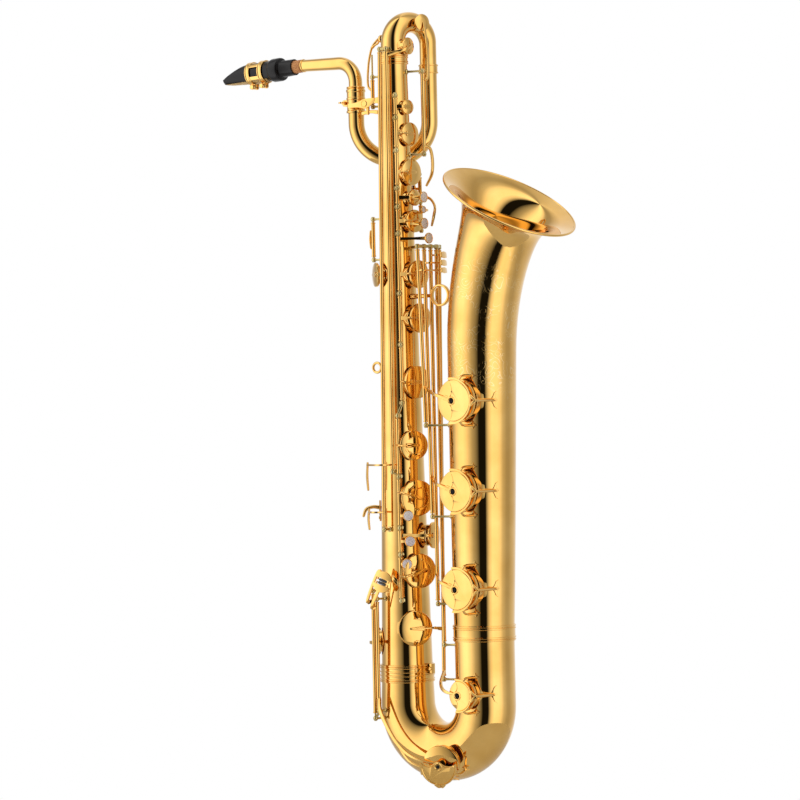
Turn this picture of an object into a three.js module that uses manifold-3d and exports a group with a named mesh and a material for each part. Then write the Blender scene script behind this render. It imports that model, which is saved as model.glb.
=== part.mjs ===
// Baritone saxophone, in millimetres, +Z up.
// +X runs from the body tube towards the bell, +Y is the player's left.
// The origin is the eye of the strap ring, on the player's side of the body tube.
// Everything is drawn around the body tube's own axis, and the whole group is moved at the end.

import * as THREE from 'three';
import { mergeVertices } from 'three/addons/utils/BufferGeometryUtils.js';
import Module from 'manifold-3d';

const wasm = await Module();
wasm.setup();

// ---------------------------------------------------------------- driving dimensions

const STRAP_EYE_TO_AXIS = 37;    // the strap ring's eye to the body tube's axis
const WALL = 1.1;                // sheet thickness of every tube
const GAP = 0.3;                 // space left between two pieces that touch
const CHIMNEY = 4;               // height of a tone hole's chimney above its tube
const CUP_HEIGHT = 6;            // pad and key cup together
const GUARD_LIFT = 19;           // guard plate above a chimney's rim
const CHIMNEY_INSET = 4;         // a cup is this much wider than its chimney
const CHIMNEY_WALL = 1.3;
const SOCKET_LEDGE = 1.2;        // room under the end of a tube that stands in a socket
const CHIMNEY_SIDES = 8;

const BODY_TOP_Z = 392;
const BODY_BOTTOM_Z = -390;
const BODY_TOP_R = 17;
const BODY_BOTTOM_R = 32.8;

const BOW_SPAN = 120.6;          // body axis to bell axis at the bottom bow
const BOW_ARC_Z = -428;          // height of the bottom bow's centre of bend
const BELL_BOTTOM_Z = -336;
const BELL_BEND_Z = 20;          // where the bell tube starts to lean
const BELL_BEND_R = 353;         // radius of that lean
const BELL_LEAN = 31;            // degrees turned along it
const BELL_TURN = -10;           // degrees from +X towards the player's right
const RIM_R = 87;

const LEG = new THREE.Vector2(18.95, 49.6);      // axis of the loop's long leg
const NECK_LEG = new THREE.Vector2(-61.2, 0);    // axis of the loop's neck leg
const LOOP_R = 10.8;
const LOOP_ARC_Z = 315;          // height of the loop's centre of bend
const NECK_SOCKET_Z = 328;       // where the neck receiver starts
const TOP_ARC_Z = 414.6;         // height of the top bow's centre of bend

const HINGE_R = 2.5;             // key tube
const PIN_R = 1.2;               // steel rod in the key tube
const PIN_BORE_R = 1.55;
const POST_R = 1.7;
const POST_BALL_R = 3.2;
const KEY_TUBE_SIDES = 6;

// ---------------------------------------------------------------- materials

function metal(color, roughness) {
  return () => new THREE.MeshStandardMaterial({ color, roughness, metalness: 1 });
}

function plain(color, roughness) {
  return () => new THREE.MeshStandardMaterial({ color, roughness, metalness: 0 });
}

const brass = metal(0xe6c173, 0.2);
const steel = metal(0xb9b6ad, 0.3);
const ebonite = plain(0x1e1a1b, 0.3);
const cork = plain(0xd08a50, 0.8);
const cane = plain(0xd9b678, 0.6);
const rollerBlack = plain(0x111111, 0.25);

// ---------------------------------------------------------------- solids and places

const UP = new THREE.Vector3(0, 1, 0);           // the axis that lathes and cylinders are made on

function v(x, y, z) {
  return new THREE.Vector3(x, y, z);
}

// A point around the body tube's axis: angle in degrees from +X, counter-clockwise from above.
function polar(angle, radius, z) {
  const a = THREE.MathUtils.degToRad(angle);
  return v(radius * Math.cos(a), radius * Math.sin(a), z);
}

function solid(geometry) {
  geometry.deleteAttribute('normal');
  geometry.deleteAttribute('uv');
  const merged = mergeVertices(geometry, 1e-4);
  const position = merged.getAttribute('position');
  const index = merged.index.array;
  const corners = [v(0, 0, 0), v(0, 0, 0), v(0, 0, 0)];
  const kept = [];
  let volume = 0;
  for (let i = 0; i < index.length; i += 3) {
    const [a, b, c] = [index[i], index[i + 1], index[i + 2]];
    if (a !== b && b !== c && c !== a) {
      kept.push(a, b, c);
      corners.forEach((corner, k) => corner.fromBufferAttribute(position, [a, b, c][k]));
      volume += corners[0].dot(corners[1].clone().cross(corners[2]));
    }
  }
  if (volume < 0) {
    for (let i = 0; i < kept.length; i += 3) {
      [kept[i], kept[i + 1]] = [kept[i + 1], kept[i]];
    }
  }
  const mesh = new wasm.Mesh({
    numProp: 3,
    vertProperties: new Float32Array(position.array),
    triVerts: new Uint32Array(kept),
  });
  return new wasm.Manifold(mesh);
}

function join(...solids) {
  return solids.flat().reduce((whole, piece) => whole.add(piece));
}

// Turns a geometry made along +Y so that it runs along `direction`, and moves its origin to `base`.
function stand(geometry, base, direction) {
  const turn = new THREE.Quaternion().setFromUnitVectors(UP, direction.clone().normalize());
  geometry.applyQuaternion(turn);
  geometry.translate(base.x, base.y, base.z);
  return geometry;
}

function rod(a, b, radius, sides = 8, endRadius = radius) {
  const along = b.clone().sub(a);
  const geometry = new THREE.CylinderGeometry(endRadius, radius, along.length(), sides);
  geometry.translate(0, along.length() / 2, 0);
  return solid(stand(geometry, a, along));
}

// A turned piece: its outline is a list of [radius, height] from the axis round to the axis.
function turned(outline, base, direction, sides = 16) {
  const points = outline.map(([r, h]) => new THREE.Vector2(r, h));
  return solid(stand(new THREE.LatheGeometry(points, sides), base, direction));
}

// Right-handed axes with `z` along `normal` and `x` as near `side` as it can be.
function axesOf(normal, side) {
  const z = normal.clone().normalize();
  const y = z.clone().cross(side).normalize();
  return new THREE.Matrix4().makeBasis(y.clone().cross(z), y, z);
}

function place(geometry, centre, normal, side) {
  geometry.applyMatrix4(axesOf(normal, side).setPosition(centre));
  return geometry;
}

// A flat bar from a to b: `width` across, `thick` along `face`.
function bar(a, b, width, thick, face) {
  const along = b.clone().sub(a);
  const box = new THREE.BoxGeometry(along.length(), width, thick);
  return solid(place(box, a.clone().add(b).multiplyScalar(0.5), squareTo(face, along), along));
}

function squareTo(direction, along) {
  const unit = along.clone().normalize();
  return direction.clone().addScaledVector(unit, -direction.dot(unit)).normalize();
}

function bars(points, width, thick, face) {
  const knuckle = Math.min(width, thick) / 2;
  return points.slice(1).map((b, i) => {
    const step = b.clone().sub(points[i]).normalize().multiplyScalar(knuckle);
    return bar(points[i].clone().sub(step), b.clone().add(step), width, thick, face);
  });
}

function plate(shape, thick, centre, normal, side, curveSegments = 6) {
  const geometry = new THREE.ExtrudeGeometry(shape, { depth: thick, bevelEnabled: false, curveSegments });
  return solid(place(geometry, centre, normal, side));
}

function wire(points, radius, sides = 6, steps = 7) {
  const path = new THREE.CatmullRomCurve3(points);
  const section = new THREE.Shape().absarc(0, 0, radius, 0, Math.PI * 2);
  const options = { steps, extrudePath: path, curveSegments: sides / 2 };
  return solid(new THREE.ExtrudeGeometry(section, options));
}

// ---------------------------------------------------------------- bent tubes

class Arc extends THREE.Curve {
  constructor(centre, first, second, radius, degrees) {
    super();
    Object.assign(this, { centre, first, second, radius });
    this.sweep = THREE.MathUtils.degToRad(degrees);
  }

  getPoint(t, target = new THREE.Vector3()) {
    const a = t * this.sweep;
    target.copy(this.centre);
    target.addScaledVector(this.first, this.radius * Math.cos(a));
    return target.addScaledVector(this.second, this.radius * Math.sin(a));
  }
}

function pathOf(...curves) {
  const path = new THREE.CurvePath();
  curves.forEach((curve) => path.add(curve));
  return path;
}

// Fractions of a path's length where its sections lie: a line needs only its ends.
function stationsOf(path, arcSteps) {
  const total = path.getLength();
  const stations = [0];
  let done = 0;
  for (const curve of path.curves) {
    const steps = curve.isLineCurve3 ? 1 : arcSteps;
    const length = curve.getLength();
    for (let i = 1; i <= steps; i += 1) {
      stations.push((done + (length * i) / steps) / total);
    }
    done += length;
  }
  return stations;
}

// Bends a lathe made on +Y, whose heights are distances along the path, onto the path.
// `sideways` is a direction that the path never runs along.
function bend(lathe, path, sideways) {
  const length = path.getLength();
  const position = lathe.getAttribute('position');
  for (let i = 0; i < position.count; i += 1) {
    const distance = position.getY(i);
    const at = THREE.MathUtils.clamp(distance / length, 0, 1);
    const along = path.getTangentAt(at);
    const point = path.getPointAt(at).addScaledVector(along, distance - at * length);
    const across = along.clone().cross(sideways).normalize();
    point.addScaledVector(across, position.getX(i));
    point.addScaledVector(along.clone().cross(across), position.getZ(i));
    position.setXYZ(i, point.x, point.y, point.z);
  }
  return lathe;
}

function bentSolid(path, outline, sides, sideways) {
  const points = outline.map(([r, h]) => new THREE.Vector2(r, h));
  return solid(bend(new THREE.LatheGeometry(points, sides), path, sideways));
}

// A bent round bar whose radius follows `radiusAt`, a function of the fraction of the path's length.
function roundBar(path, radiusAt, { sides = 16, arcSteps = 10, sideways = v(0, 1, 0) } = {}, overrun = 0) {
  const length = path.getLength();
  const stations = stationsOf(path, arcSteps);
  const outline = stations.map((t) => [radiusAt(t), t * length]);
  outline[0][1] -= overrun;
  outline[outline.length - 1][1] += overrun;
  return bentSolid(path, [[0, -overrun], ...outline, [0, length + overrun]], sides, sideways);
}

// A tube open at both ends, with the chimneys of its tone holes.
function tube(path, radiusAt, options, specs = []) {
  const inside = roundBar(path, (t) => radiusAt(t) - WALL, options, 1);
  let whole = roundBar(path, radiusAt, options);
  for (const spec of specs) {
    const top = spec.centre.clone().addScaledVector(spec.normal, spec.seat);
    whole = whole.add(rod(spec.centre, top, chimneyRadius(spec), CHIMNEY_SIDES));
  }
  return openHoles(whole.subtract(inside), specs);
}

function openHoles(tubeSolid, specs) {
  return specs.reduce((whole, spec) => {
    const top = spec.centre.clone().addScaledVector(spec.normal, spec.seat + 1);
    return whole.subtract(rod(spec.centre, top, chimneyRadius(spec) - CHIMNEY_WALL, CHIMNEY_SIDES));
  }, tubeSolid);
}

function chimneyRadius(spec) {
  return spec.radius - Math.min(CHIMNEY_INSET, spec.radius * 0.3);
}

const Z = v(0, 0, 1);

// A sleeve over a joint between two tubes, with a raised band at each end.
function collar(centre, along, innerR, height, bandH = 3, sides = 20) {
  const base = centre.clone().addScaledVector(along, -height / 2);
  const wall = 1.3;
  const band = 1;
  return turned([
    [innerR, 0], [innerR + wall + band, 0], [innerR + wall + band, bandH], [innerR + wall, bandH],
    [innerR + wall, height - bandH], [innerR + wall + band, height - bandH],
    [innerR + wall + band, height], [innerR, height], [innerR, 0],
  ], base, along, sides);
}

// A socket on the end of a tube: one half is soldered to it, the other half clears the next tube.
// `towards` points from the tube that carries it to the tube that it receives.
function socket(centre, towards, tubeR, height, sides, receivedR = tubeR) {
  const clear = (receivedR + GAP + 0.1) / Math.cos(Math.PI / sides);
  const half = height / 2;
  const solderedR = tubeR - 0.9;
  return turned([
    [solderedR, -half], [clear + 1.3, -half], [clear + 1.3, half], [clear, half],
    [clear, -SOCKET_LEDGE], [solderedR, -SOCKET_LEDGE], [solderedR, -half],
  ], centre, towards, sides);
}

function ring(innerR, outerR, height, base, direction, sides = 20) {
  return turned([
    [innerR, 0], [outerR, 0], [outerR, height], [innerR, height], [innerR, 0],
  ], base, direction, sides);
}

// ---------------------------------------------------------------- where the tone holes are

function bodyRadius(z) {
  return THREE.MathUtils.mapLinear(z, BODY_BOTTOM_Z, BODY_TOP_Z, BODY_BOTTOM_R, BODY_TOP_R);
}

// A tone hole with its cup: `centre` on the tube's axis, `normal` out of the hole,
// `opening` how far its pad stands off the chimney at rest.
function hole(centre, normal, tubeR, radius, opening = 0, chimney = CHIMNEY) {
  const seat = tubeR + chimney;
  const pad = centre.clone().addScaledVector(normal.clone().normalize(), seat + GAP + opening);
  return { centre, normal: normal.clone().normalize(), tubeR, radius, seat, pad };
}

function bodyHole(z, angle, radius, opening = 0) {
  return hole(v(0, 0, z), polar(angle, 1, 0), bodyRadius(z), radius, opening);
}

const bowSide = v(BOW_SPAN, 0, 0);
const bottomBowPath = pathOf(
  new THREE.LineCurve3(v(0, 0, BODY_BOTTOM_Z - GAP), v(0, 0, BOW_ARC_Z)),
  new Arc(v(BOW_SPAN / 2, 0, BOW_ARC_Z), v(-1, 0, 0), v(0, 0, -1), BOW_SPAN / 2, 180),
  new THREE.LineCurve3(v(BOW_SPAN, 0, BOW_ARC_Z), v(BOW_SPAN, 0, BELL_BOTTOM_Z - SOCKET_LEDGE)),
);

const bellStart = bowSide.clone().setZ(BELL_BOTTOM_Z);
const bellBend = v(BOW_SPAN + 6, 0, BELL_BEND_Z);
const bellUp = bellBend.clone().sub(bellStart).normalize();
const bellAside = squareTo(polar(BELL_TURN, 1, 0), bellUp);
const bellArcCentre = bellBend.clone().addScaledVector(bellAside, BELL_BEND_R);
const bellPath = pathOf(
  new THREE.LineCurve3(bellStart, bellBend),
  new Arc(bellArcCentre, bellAside.clone().negate(), bellUp, BELL_BEND_R, BELL_LEAN),
);
const BELL_LENGTH = bellPath.getLength();

// Radius of the bell at a distance from its rim: a slow cone and a flare of two falling terms.
function bellRadius(fromRim) {
  const cone = 43.5 - 5.5 * (fromRim / BELL_LENGTH) ** 2.2;
  const shoulder = 12 * Math.exp(-fromRim / 60);
  const flare = (RIM_R - 55.5) * Math.exp(-fromRim / 10);
  return cone + shoulder + flare;
}

const BOW_END_R = 37.8;

function bowRadius(t) {
  return BODY_BOTTOM_R + (BOW_END_R - BODY_BOTTOM_R) * (1 - (1 - t) ** 3);
}

const holes = {
  palm_f: bodyHole(330, -14, 9.5),
  palm_e_flat: bodyHole(295.6, -8, 15),
  palm_d: bodyHole(247, -8, 17),
  b: bodyHole(214.4, -6, 10.5, 3),
  a: bodyHole(184.6, -10, 14.5, 4),
  g: bodyHole(117, -5, 18, 5),
  upper_f_sharp: bodyHole(61.3, -6, 19, 5),
  g_sharp: bodyHole(-20, -14, 21),
  f_sharp: bodyHole(-100, -32, 19, 5),
  f: bodyHole(-166.7, -28, 23, 6),
  e: bodyHole(-215, 12, 17, 5),
  d: bodyHole(-259, -28, 22, 6),
  low_d: bodyHole(-331.8, -37, 22.5),
  side_c: bodyHole(118, -130, 15.5),
  e_flat: bodyHole(-350, -160, 18),
  trill: bodyHole(228, 88, 10),
};

const FRONT = v(0, -1, 0);       // the player's right, where the bell keys face
const bellAxisAt = (z) => bellStart.clone().addScaledVector(bellUp, (z - BELL_BOTTOM_Z) / bellUp.z);
const bellHole = (z, radius, opening) => hole(
  bellAxisAt(z), FRONT, bellRadius(BELL_LENGTH - (z - BELL_BOTTOM_Z)), radius, opening, 5,
);
const bellHoles = {
  low_b_flat: bellHole(-44.7, 28, 6),
  low_b: bellHole(-157.2, 27.5, 6),
  low_a: bellHole(-279.3, 27.5, 6),
};
const bowHoles = {
  low_c_sharp: hole(v(BOW_SPAN, 0, -411), FRONT, 37.4, 20, 5, 5),
  low_c: hole(
    v(BOW_SPAN / 2 + 12, 0, -488), v(0.22, -0.93, -0.2), 36.8, 23.5, 5, 5,
  ),
};

const topBowAcross = v(LEG.x, LEG.y, 0).normalize();
const TOP_ARC_R = LEG.length() / 2;
const topHoles = {
  high_e: hole(v(0, 0, 408), v(1, 0, 0), 16.4, 11),
  high_f_sharp: hole(
    topBowAcross.clone().multiplyScalar(TOP_ARC_R * 1.15).setZ(TOP_ARC_Z + TOP_ARC_R - 2),
    v(0.95, -0.31, 0), 13, 11,
  ),
  octave: hole(v(0.5, 1.3, 421), v(-1, 0.1, 0), 15.8, 5, 0, 3),
};

// ---------------------------------------------------------------- tubes with their chimneys

const model = new THREE.Group();

const MERGE_WITHIN = 0.06;       // slivers that the cuts leave are merged within this distance

function add(name, piece, material) {
  const data = piece.simplify(MERGE_WITHIN).getMesh();
  const geometry = new THREE.BufferGeometry();
  geometry.setAttribute('position', new THREE.BufferAttribute(data.vertProperties, 3));
  geometry.setIndex(new THREE.BufferAttribute(data.triVerts, 1));
  const mesh = new THREE.Mesh(geometry, material());
  mesh.name = name;
  model.add(mesh);
  return mesh;
}

const bodyPath = pathOf(new THREE.LineCurve3(v(0, 0, BODY_BOTTOM_Z), v(0, 0, BODY_TOP_Z)));
const bodyTube = tube(
  bodyPath, (t) => THREE.MathUtils.lerp(BODY_BOTTOM_R, BODY_TOP_R, t), { sides: 14 }, Object.values(holes),
);
add('body_tube', bodyTube, brass);

const bowOptions = { sides: 14, arcSteps: 9 };
const bellSocket = socket(bellStart, Z, BOW_END_R, 22, 16, BOW_END_R + 0.7);
const bowTube = tube(bottomBowPath, bowRadius, bowOptions, Object.values(bowHoles));
add('bottom_bow', join(bowTube, bellSocket), brass);

const BEAD = 1.6;                // how far the rolled edge stands out from the rim

function bellOutline() {
  const fromRim = [4, 10, 20, 38, 70, 110, 150, 190.5, BELL_LENGTH];
  const outer = fromRim.map((s) => [bellRadius(s), BELL_LENGTH - s]);
  const inner = fromRim.map((s) => {
    const step = 0.1;
    const slope = (bellRadius(s + step) - bellRadius(s)) / step;
    const unit = WALL / Math.hypot(1, slope);
    return [bellRadius(s) - unit, BELL_LENGTH - s - slope * unit];
  });
  inner[inner.length - 1][1] = 0;
  const rolledEdge = [
    [RIM_R + BEAD, BELL_LENGTH - 2.4], [RIM_R + BEAD, BELL_LENGTH + 1.4], [RIM_R - 1.2, BELL_LENGTH + 1.4],
  ];
  const [bottom, ...outerUp] = outer.reverse();
  return [bottom, ...outerUp, ...rolledEdge, ...inner, bottom];
}

const bellTube = bentSolid(bellPath, bellOutline(), 18, v(0, 1, 0));
const bellChimneys = Object.values(bellHoles).map((spec) => {
  const inside = Math.sqrt(spec.tubeR ** 2 - chimneyRadius(spec) ** 2) - WALL;
  const foot = spec.centre.clone().addScaledVector(spec.normal, inside);
  return rod(foot, spec.centre.clone().addScaledVector(spec.normal, spec.seat), chimneyRadius(spec), CHIMNEY_SIDES);
});
add('bell', openHoles(join(bellTube, bellChimneys), Object.values(bellHoles)), brass);

const loopAcross = v(LEG.x - NECK_LEG.x, LEG.y - NECK_LEG.y, 0);
const LOOP_ARC_R = loopAcross.length() / 2;
loopAcross.normalize();
const loopSideways = loopAcross.clone().cross(v(0, 0, 1));
const LEG_TOP_Z = 382;
const loopPath = pathOf(
  new THREE.LineCurve3(v(NECK_LEG.x, NECK_LEG.y, NECK_SOCKET_Z), v(NECK_LEG.x, NECK_LEG.y, LOOP_ARC_Z)),
  new Arc(
    v((LEG.x + NECK_LEG.x) / 2, (LEG.y + NECK_LEG.y) / 2, LOOP_ARC_Z),
    loopAcross.clone().negate(), v(0, 0, -1), LOOP_ARC_R, 180,
  ),
  new THREE.LineCurve3(v(LEG.x, LEG.y, LOOP_ARC_Z), v(LEG.x, LEG.y, LEG_TOP_Z)),
);
const LOOP_START_R = 10.2;
const loopRadius = (t) => THREE.MathUtils.lerp(LOOP_START_R, LOOP_R, t);
add('upper_loop_tube', tube(loopPath, loopRadius, { sides: 10, arcSteps: 9, sideways: loopSideways }), brass);

const topBowSideways = topBowAcross.clone().cross(v(0, 0, 1));
const topBowPath = pathOf(
  new THREE.LineCurve3(v(0, 0, BODY_TOP_Z + GAP), v(0, 0, TOP_ARC_Z)),
  new Arc(
    topBowAcross.clone().multiplyScalar(TOP_ARC_R).setZ(TOP_ARC_Z),
    topBowAcross.clone().negate(), v(0, 0, 1), TOP_ARC_R, 180,
  ),
  new THREE.LineCurve3(v(LEG.x, LEG.y, TOP_ARC_Z), v(LEG.x, LEG.y, LEG_TOP_Z + GAP)),
);
const topBowRadius = (t) => THREE.MathUtils.lerp(BODY_TOP_R, LOOP_R, Math.min(t * 1.3, 1));
const topBowOptions = { sides: 12, arcSteps: 7, sideways: topBowSideways };
const topSockets = [
  socket(v(0, 0, BODY_TOP_Z), Z.clone().negate(), BODY_TOP_R, 14, 14),
  socket(v(LEG.x, LEG.y, LEG_TOP_Z), Z.clone().negate(), LOOP_R, 13, 12),
];
const topBowTube = tube(topBowPath, topBowRadius, topBowOptions, Object.values(topHoles));
add('top_bow', join(topBowTube, topSockets), brass);

// ---------------------------------------------------------------- collars, neck receiver, braces

const bodyCollar = collar(v(0, 0, BODY_BOTTOM_Z), Z, BODY_BOTTOM_R + 1.4, 24);
const clampBlock = bar(v(34.5, 0, BODY_BOTTOM_Z + 6), v(42, 0, BODY_BOTTOM_Z + 6), 8, 13, Z);
add('body_bow_collar', join(bodyCollar, clampBlock), brass);

// Neck receiver: a sleeve that carries on the loop's neck leg, split at the top and closed by a screw.
const RECEIVER_TOP_Z = 359;
const neckAxis = (z) => v(NECK_LEG.x, NECK_LEG.y, z);
const receiverBore = 10.4;
const receiverSleeve = turned([
  [receiverBore, 0], [12.6, 0], [12.6, 3], [11.7, 3], [11.7, 17], [12.4, 17], [12.4, 20],
  [11.7, 20], [11.7, 27], [12.6, 27], [12.6, 30.5], [receiverBore, 30.5], [receiverBore, 0],
], neckAxis(NECK_SOCKET_Z + GAP), Z, 16);
const EAR_Z = 342;
const EAR_HALF_GAP = 1;
const ears = [-1, 1].map((s) => bar(
  neckAxis(EAR_Z).add(v(-10.5, s * (EAR_HALF_GAP + 1.2), 0)),
  neckAxis(EAR_Z).add(v(-18.5, s * (EAR_HALF_GAP + 1.2), 0)), 2.4, 9, Z,
));
const slit = bar(neckAxis(352).add(v(-9, 0, 0)), neckAxis(352).add(v(-16, 0, 0)), EAR_HALF_GAP * 2, 26, Z);
const screwX = -15.5;
const screwBore = rod(neckAxis(EAR_Z).add(v(screwX, -6, 0)), neckAxis(EAR_Z).add(v(screwX, 6, 0)), 1.9);
add('neck_receiver', join(receiverSleeve, ears).subtract(slit).subtract(screwBore), brass);

function thumbscrew(head, tip, shankR, headR, headH) {
  const along = tip.clone().sub(head).normalize();
  const headEnd = head.clone().addScaledVector(along, headH);
  const wing = plate(
    new THREE.Shape().absellipse(0, 0, headR, headR * 0.8, 0, Math.PI * 2), 2.2,
    head.clone().addScaledVector(along, -headR * 0.7).add(v(0, 0, -1.1)), Z, along, 5,
  );
  return join(rod(head, headEnd, headR * 0.6), rod(head, tip, shankR), wing);
}

add('neck_clamp_screw', thumbscrew(
  neckAxis(EAR_Z).add(v(screwX, -7.5, 0)), neckAxis(EAR_Z).add(v(screwX, 6, 0)), 1.5, 4.6, 3,
), brass);

// Flat brace from the neck receiver to the body tube, with a plain round boss.
function braceShape() {
  const shape = new THREE.Shape();
  shape.moveTo(-26, -4);
  shape.quadraticCurveTo(-8, -3, 0, -6.5);
  shape.quadraticCurveTo(10, -5, 17, 2.5);
  shape.lineTo(17, 6);
  shape.quadraticCurveTo(4, 7.5, -4, 5);
  shape.quadraticCurveTo(-14, 1, -26, 2);
  return shape;
}

const BRACE_Y = -13.3;
const braceCentre = v(-37.5, BRACE_Y, 338);
const braceFoot = bar(v(-24, BRACE_Y - 0.4, 341), v(-13.5, BRACE_Y - 0.4, 341), 9, 2, FRONT);
const braceLink = bar(v(-44, BRACE_Y + 3, 326), v(-17, BRACE_Y + 3, 326), 5, 4, FRONT);
const braceDrop = bar(v(-34, BRACE_Y + 1.6, 337), v(-34, BRACE_Y + 1.6, 324), 5, 3.6, FRONT);
add('neck_brace_plate', join(
  plate(braceShape(), 1.8, braceCentre, FRONT, v(1, 0, 0)),
  rod(braceCentre, braceCentre.clone().add(v(0, -2.8, 0)), 4.6, 16),
  braceFoot, braceLink, braceDrop,
), brass);

// Ring brace between the body tube and the bell tube.
const BRACE_RING_Z = 89;
const ringGap = { from: bodyRadius(BRACE_RING_Z) + GAP, to: BOW_SPAN + 7 - 43.8 - GAP };
const ringX = 68;
const ringY = -4.7;              // the brace passes between two of the bell-key rods
const braceRing = ring(11.5, 14, 6, v(ringX, ringY - 3, BRACE_RING_Z), FRONT.clone().negate(), 18);
add('bell_brace_ring', join(
  braceRing,
  rod(v(ringGap.from, ringY, BRACE_RING_Z), v(ringX - 12.5, ringY, BRACE_RING_Z), 2.4),
  rod(v(ringX + 12.5, ringY, BRACE_RING_Z), v(ringGap.to, ringY, BRACE_RING_Z), 3.4),
), brass);

// ---------------------------------------------------------------- neck and mouthpiece

const NECK_BEND_R = 27;
const NECK_END_X = -145.5;
const NECK_Z = 394.5;
const NECK_TENON_Z = 334;
const NECK_START_R = 9.1;
const NECK_END_R = 7.8;
const neckBendCentre = v(NECK_LEG.x - NECK_BEND_R, 0, NECK_Z - NECK_BEND_R);
const neckPath = pathOf(
  new THREE.LineCurve3(neckAxis(NECK_TENON_Z), neckAxis(NECK_Z - NECK_BEND_R)),
  new Arc(neckBendCentre, v(1, 0, 0), v(0, 0, 1), NECK_BEND_R, 90),
  new THREE.LineCurve3(v(NECK_LEG.x - NECK_BEND_R, 0, NECK_Z), v(NECK_END_X, 0, NECK_Z + 1.5)),
);
const neckRadius = (t) => THREE.MathUtils.lerp(NECK_START_R, NECK_END_R, Math.min(t * 1.1, 1));
const neckTube = tube(neckPath, neckRadius, { sides: 10, arcSteps: 6 });
const tenon = ring(8.2, receiverBore - GAP - 0.1, 24, neckAxis(NECK_TENON_Z), Z, 10);
const neckRing = ring(8.2, 12, 3, neckAxis(RECEIVER_TOP_Z + GAP), Z, 10);
const nose = v(NECK_END_X, 0, NECK_Z + 1.5);
const noseDirection = v(-1, 0, -0.05).normalize();
const neckNose = rod(nose.clone().add(v(2, 0, 0)), nose.clone().addScaledVector(noseDirection, 38), 6.6, 10);
const noseBore = rod(nose.clone().add(v(2, 0, 0)), nose.clone().addScaledVector(noseDirection, 40), 5.6, 10);
add('neck', join(neckTube, tenon, neckRing, neckNose).subtract(noseBore), brass);

const corkStart = nose.clone().addScaledVector(noseDirection, GAP + 0.8);
add('neck_cork', ring(6.9, 8.4, 36, corkStart, noseDirection, 14), cork);

// The mouthpiece is turned about its own axis, then its table, beak and window are cut.
const MOUTHPIECE_START = 13;     // length of cork left showing
const shank = nose.clone().addScaledVector(noseDirection, MOUTHPIECE_START);
const MOUTHPIECE_LENGTH = 115;
const onMouthpiece = (along, up, side = 0) => {
  const lift = v(0, 0, 1).addScaledVector(noseDirection, -noseDirection.z).normalize();
  return shank.clone().addScaledVector(noseDirection, along).addScaledVector(lift, up).add(v(0, side, 0));
};
const mouthpieceLift = onMouthpiece(0, 1).sub(shank);
const mouthpieceTurned = turned([
  [0, 0], [10.6, 0], [11, 20], [14.6, 21.5], [15.3, 24], [15.3, 34], [14, 36.5],
  [13.6, 44], [13.2, 76], [11.5, MOUTHPIECE_LENGTH], [0, MOUTHPIECE_LENGTH],
], shank, noseDirection, 18);
const TABLE_DEPTH = 9.6;         // the flat that the reed lies on, below the axis
const under = (from, to, depth, height) => bar(
  onMouthpiece(from, -depth - height / 2), onMouthpiece(to, -depth - height / 2), 34, height, mouthpieceLift,
);
const beakSlope = bar(onMouthpiece(78, 24.2), onMouthpiece(124, 2.4), 34, 20, mouthpieceLift);
const mouthpieceBore = rod(onMouthpiece(-1, 0), onMouthpiece(66, 0), 8.8, 12);
const chamber = bar(onMouthpiece(60, -3.5), onMouthpiece(112, -7), 11, 9, mouthpieceLift);
add('mouthpiece', mouthpieceTurned.subtract(under(42, 120, TABLE_DEPTH, 12)).subtract(beakSlope)
  .subtract(mouthpieceBore).subtract(chamber), ebonite);

function reedShape() {
  const halfWidth = 8.5;
  const shape = new THREE.Shape();
  shape.moveTo(43, -halfWidth + 1);
  shape.lineTo(MOUTHPIECE_LENGTH - 5, -halfWidth);
  shape.quadraticCurveTo(MOUTHPIECE_LENGTH, 0, MOUTHPIECE_LENGTH - 5, halfWidth);
  shape.lineTo(43, halfWidth - 1);
  return shape;
}

const reedTop = onMouthpiece(0, -TABLE_DEPTH - GAP - 3);
const reedBlank = plate(reedShape(), 3, reedTop, mouthpieceLift, noseDirection, 6);
const reedVamp = bar(onMouthpiece(76, -TABLE_DEPTH - 5.4), onMouthpiece(118, -TABLE_DEPTH - 2.7), 24, 4, mouthpieceLift);
const reedBark = rod(onMouthpiece(40, 0), onMouthpiece(MOUTHPIECE_LENGTH + 2, 0), 13.3, 18);
add('reed', reedBlank.subtract(reedVamp).intersect(reedBark), cane);

// Ligature: two bands round mouthpiece and reed, tied by side strips, closed by two screws underneath.
const LIGATURE_FROM = 46;
const LIGATURE_LENGTH = 28;
const ligatureTube = ring(14.2, 15.3, LIGATURE_LENGTH, onMouthpiece(LIGATURE_FROM, 0), noseDirection, 16);
const windowCut = (side) => bar(
  onMouthpiece(LIGATURE_FROM + 7, 1, side * 15), onMouthpiece(LIGATURE_FROM + 21, 1, side * 15),
  8, 15, mouthpieceLift,
);
const LUG_DROP = 17.6;
const SCREW_AT = [LIGATURE_FROM + 6, LIGATURE_FROM + 22];
const lugs = SCREW_AT.flatMap((along) => [-1, 1].map((side) => (
  bar(onMouthpiece(along - 4, -LUG_DROP, side * 3), onMouthpiece(along + 4, -LUG_DROP, side * 3), 3, 7, mouthpieceLift)
)));
const lugSlit = bar(
  onMouthpiece(LIGATURE_FROM - 1, -17), onMouthpiece(LIGATURE_FROM + 29, -17), 2.6, 10, mouthpieceLift,
);
const ligatureScrewBores = SCREW_AT.map((along) => (
  rod(onMouthpiece(along, -LUG_DROP - 0.6, -6), onMouthpiece(along, -LUG_DROP - 0.6, 6), 1.5)
));
const ligatureCuts = [windowCut(-1), windowCut(1), lugSlit, ...ligatureScrewBores];
add('ligature', ligatureCuts.reduce((whole, cut) => whole.subtract(cut), join(ligatureTube, lugs)), brass);
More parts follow.
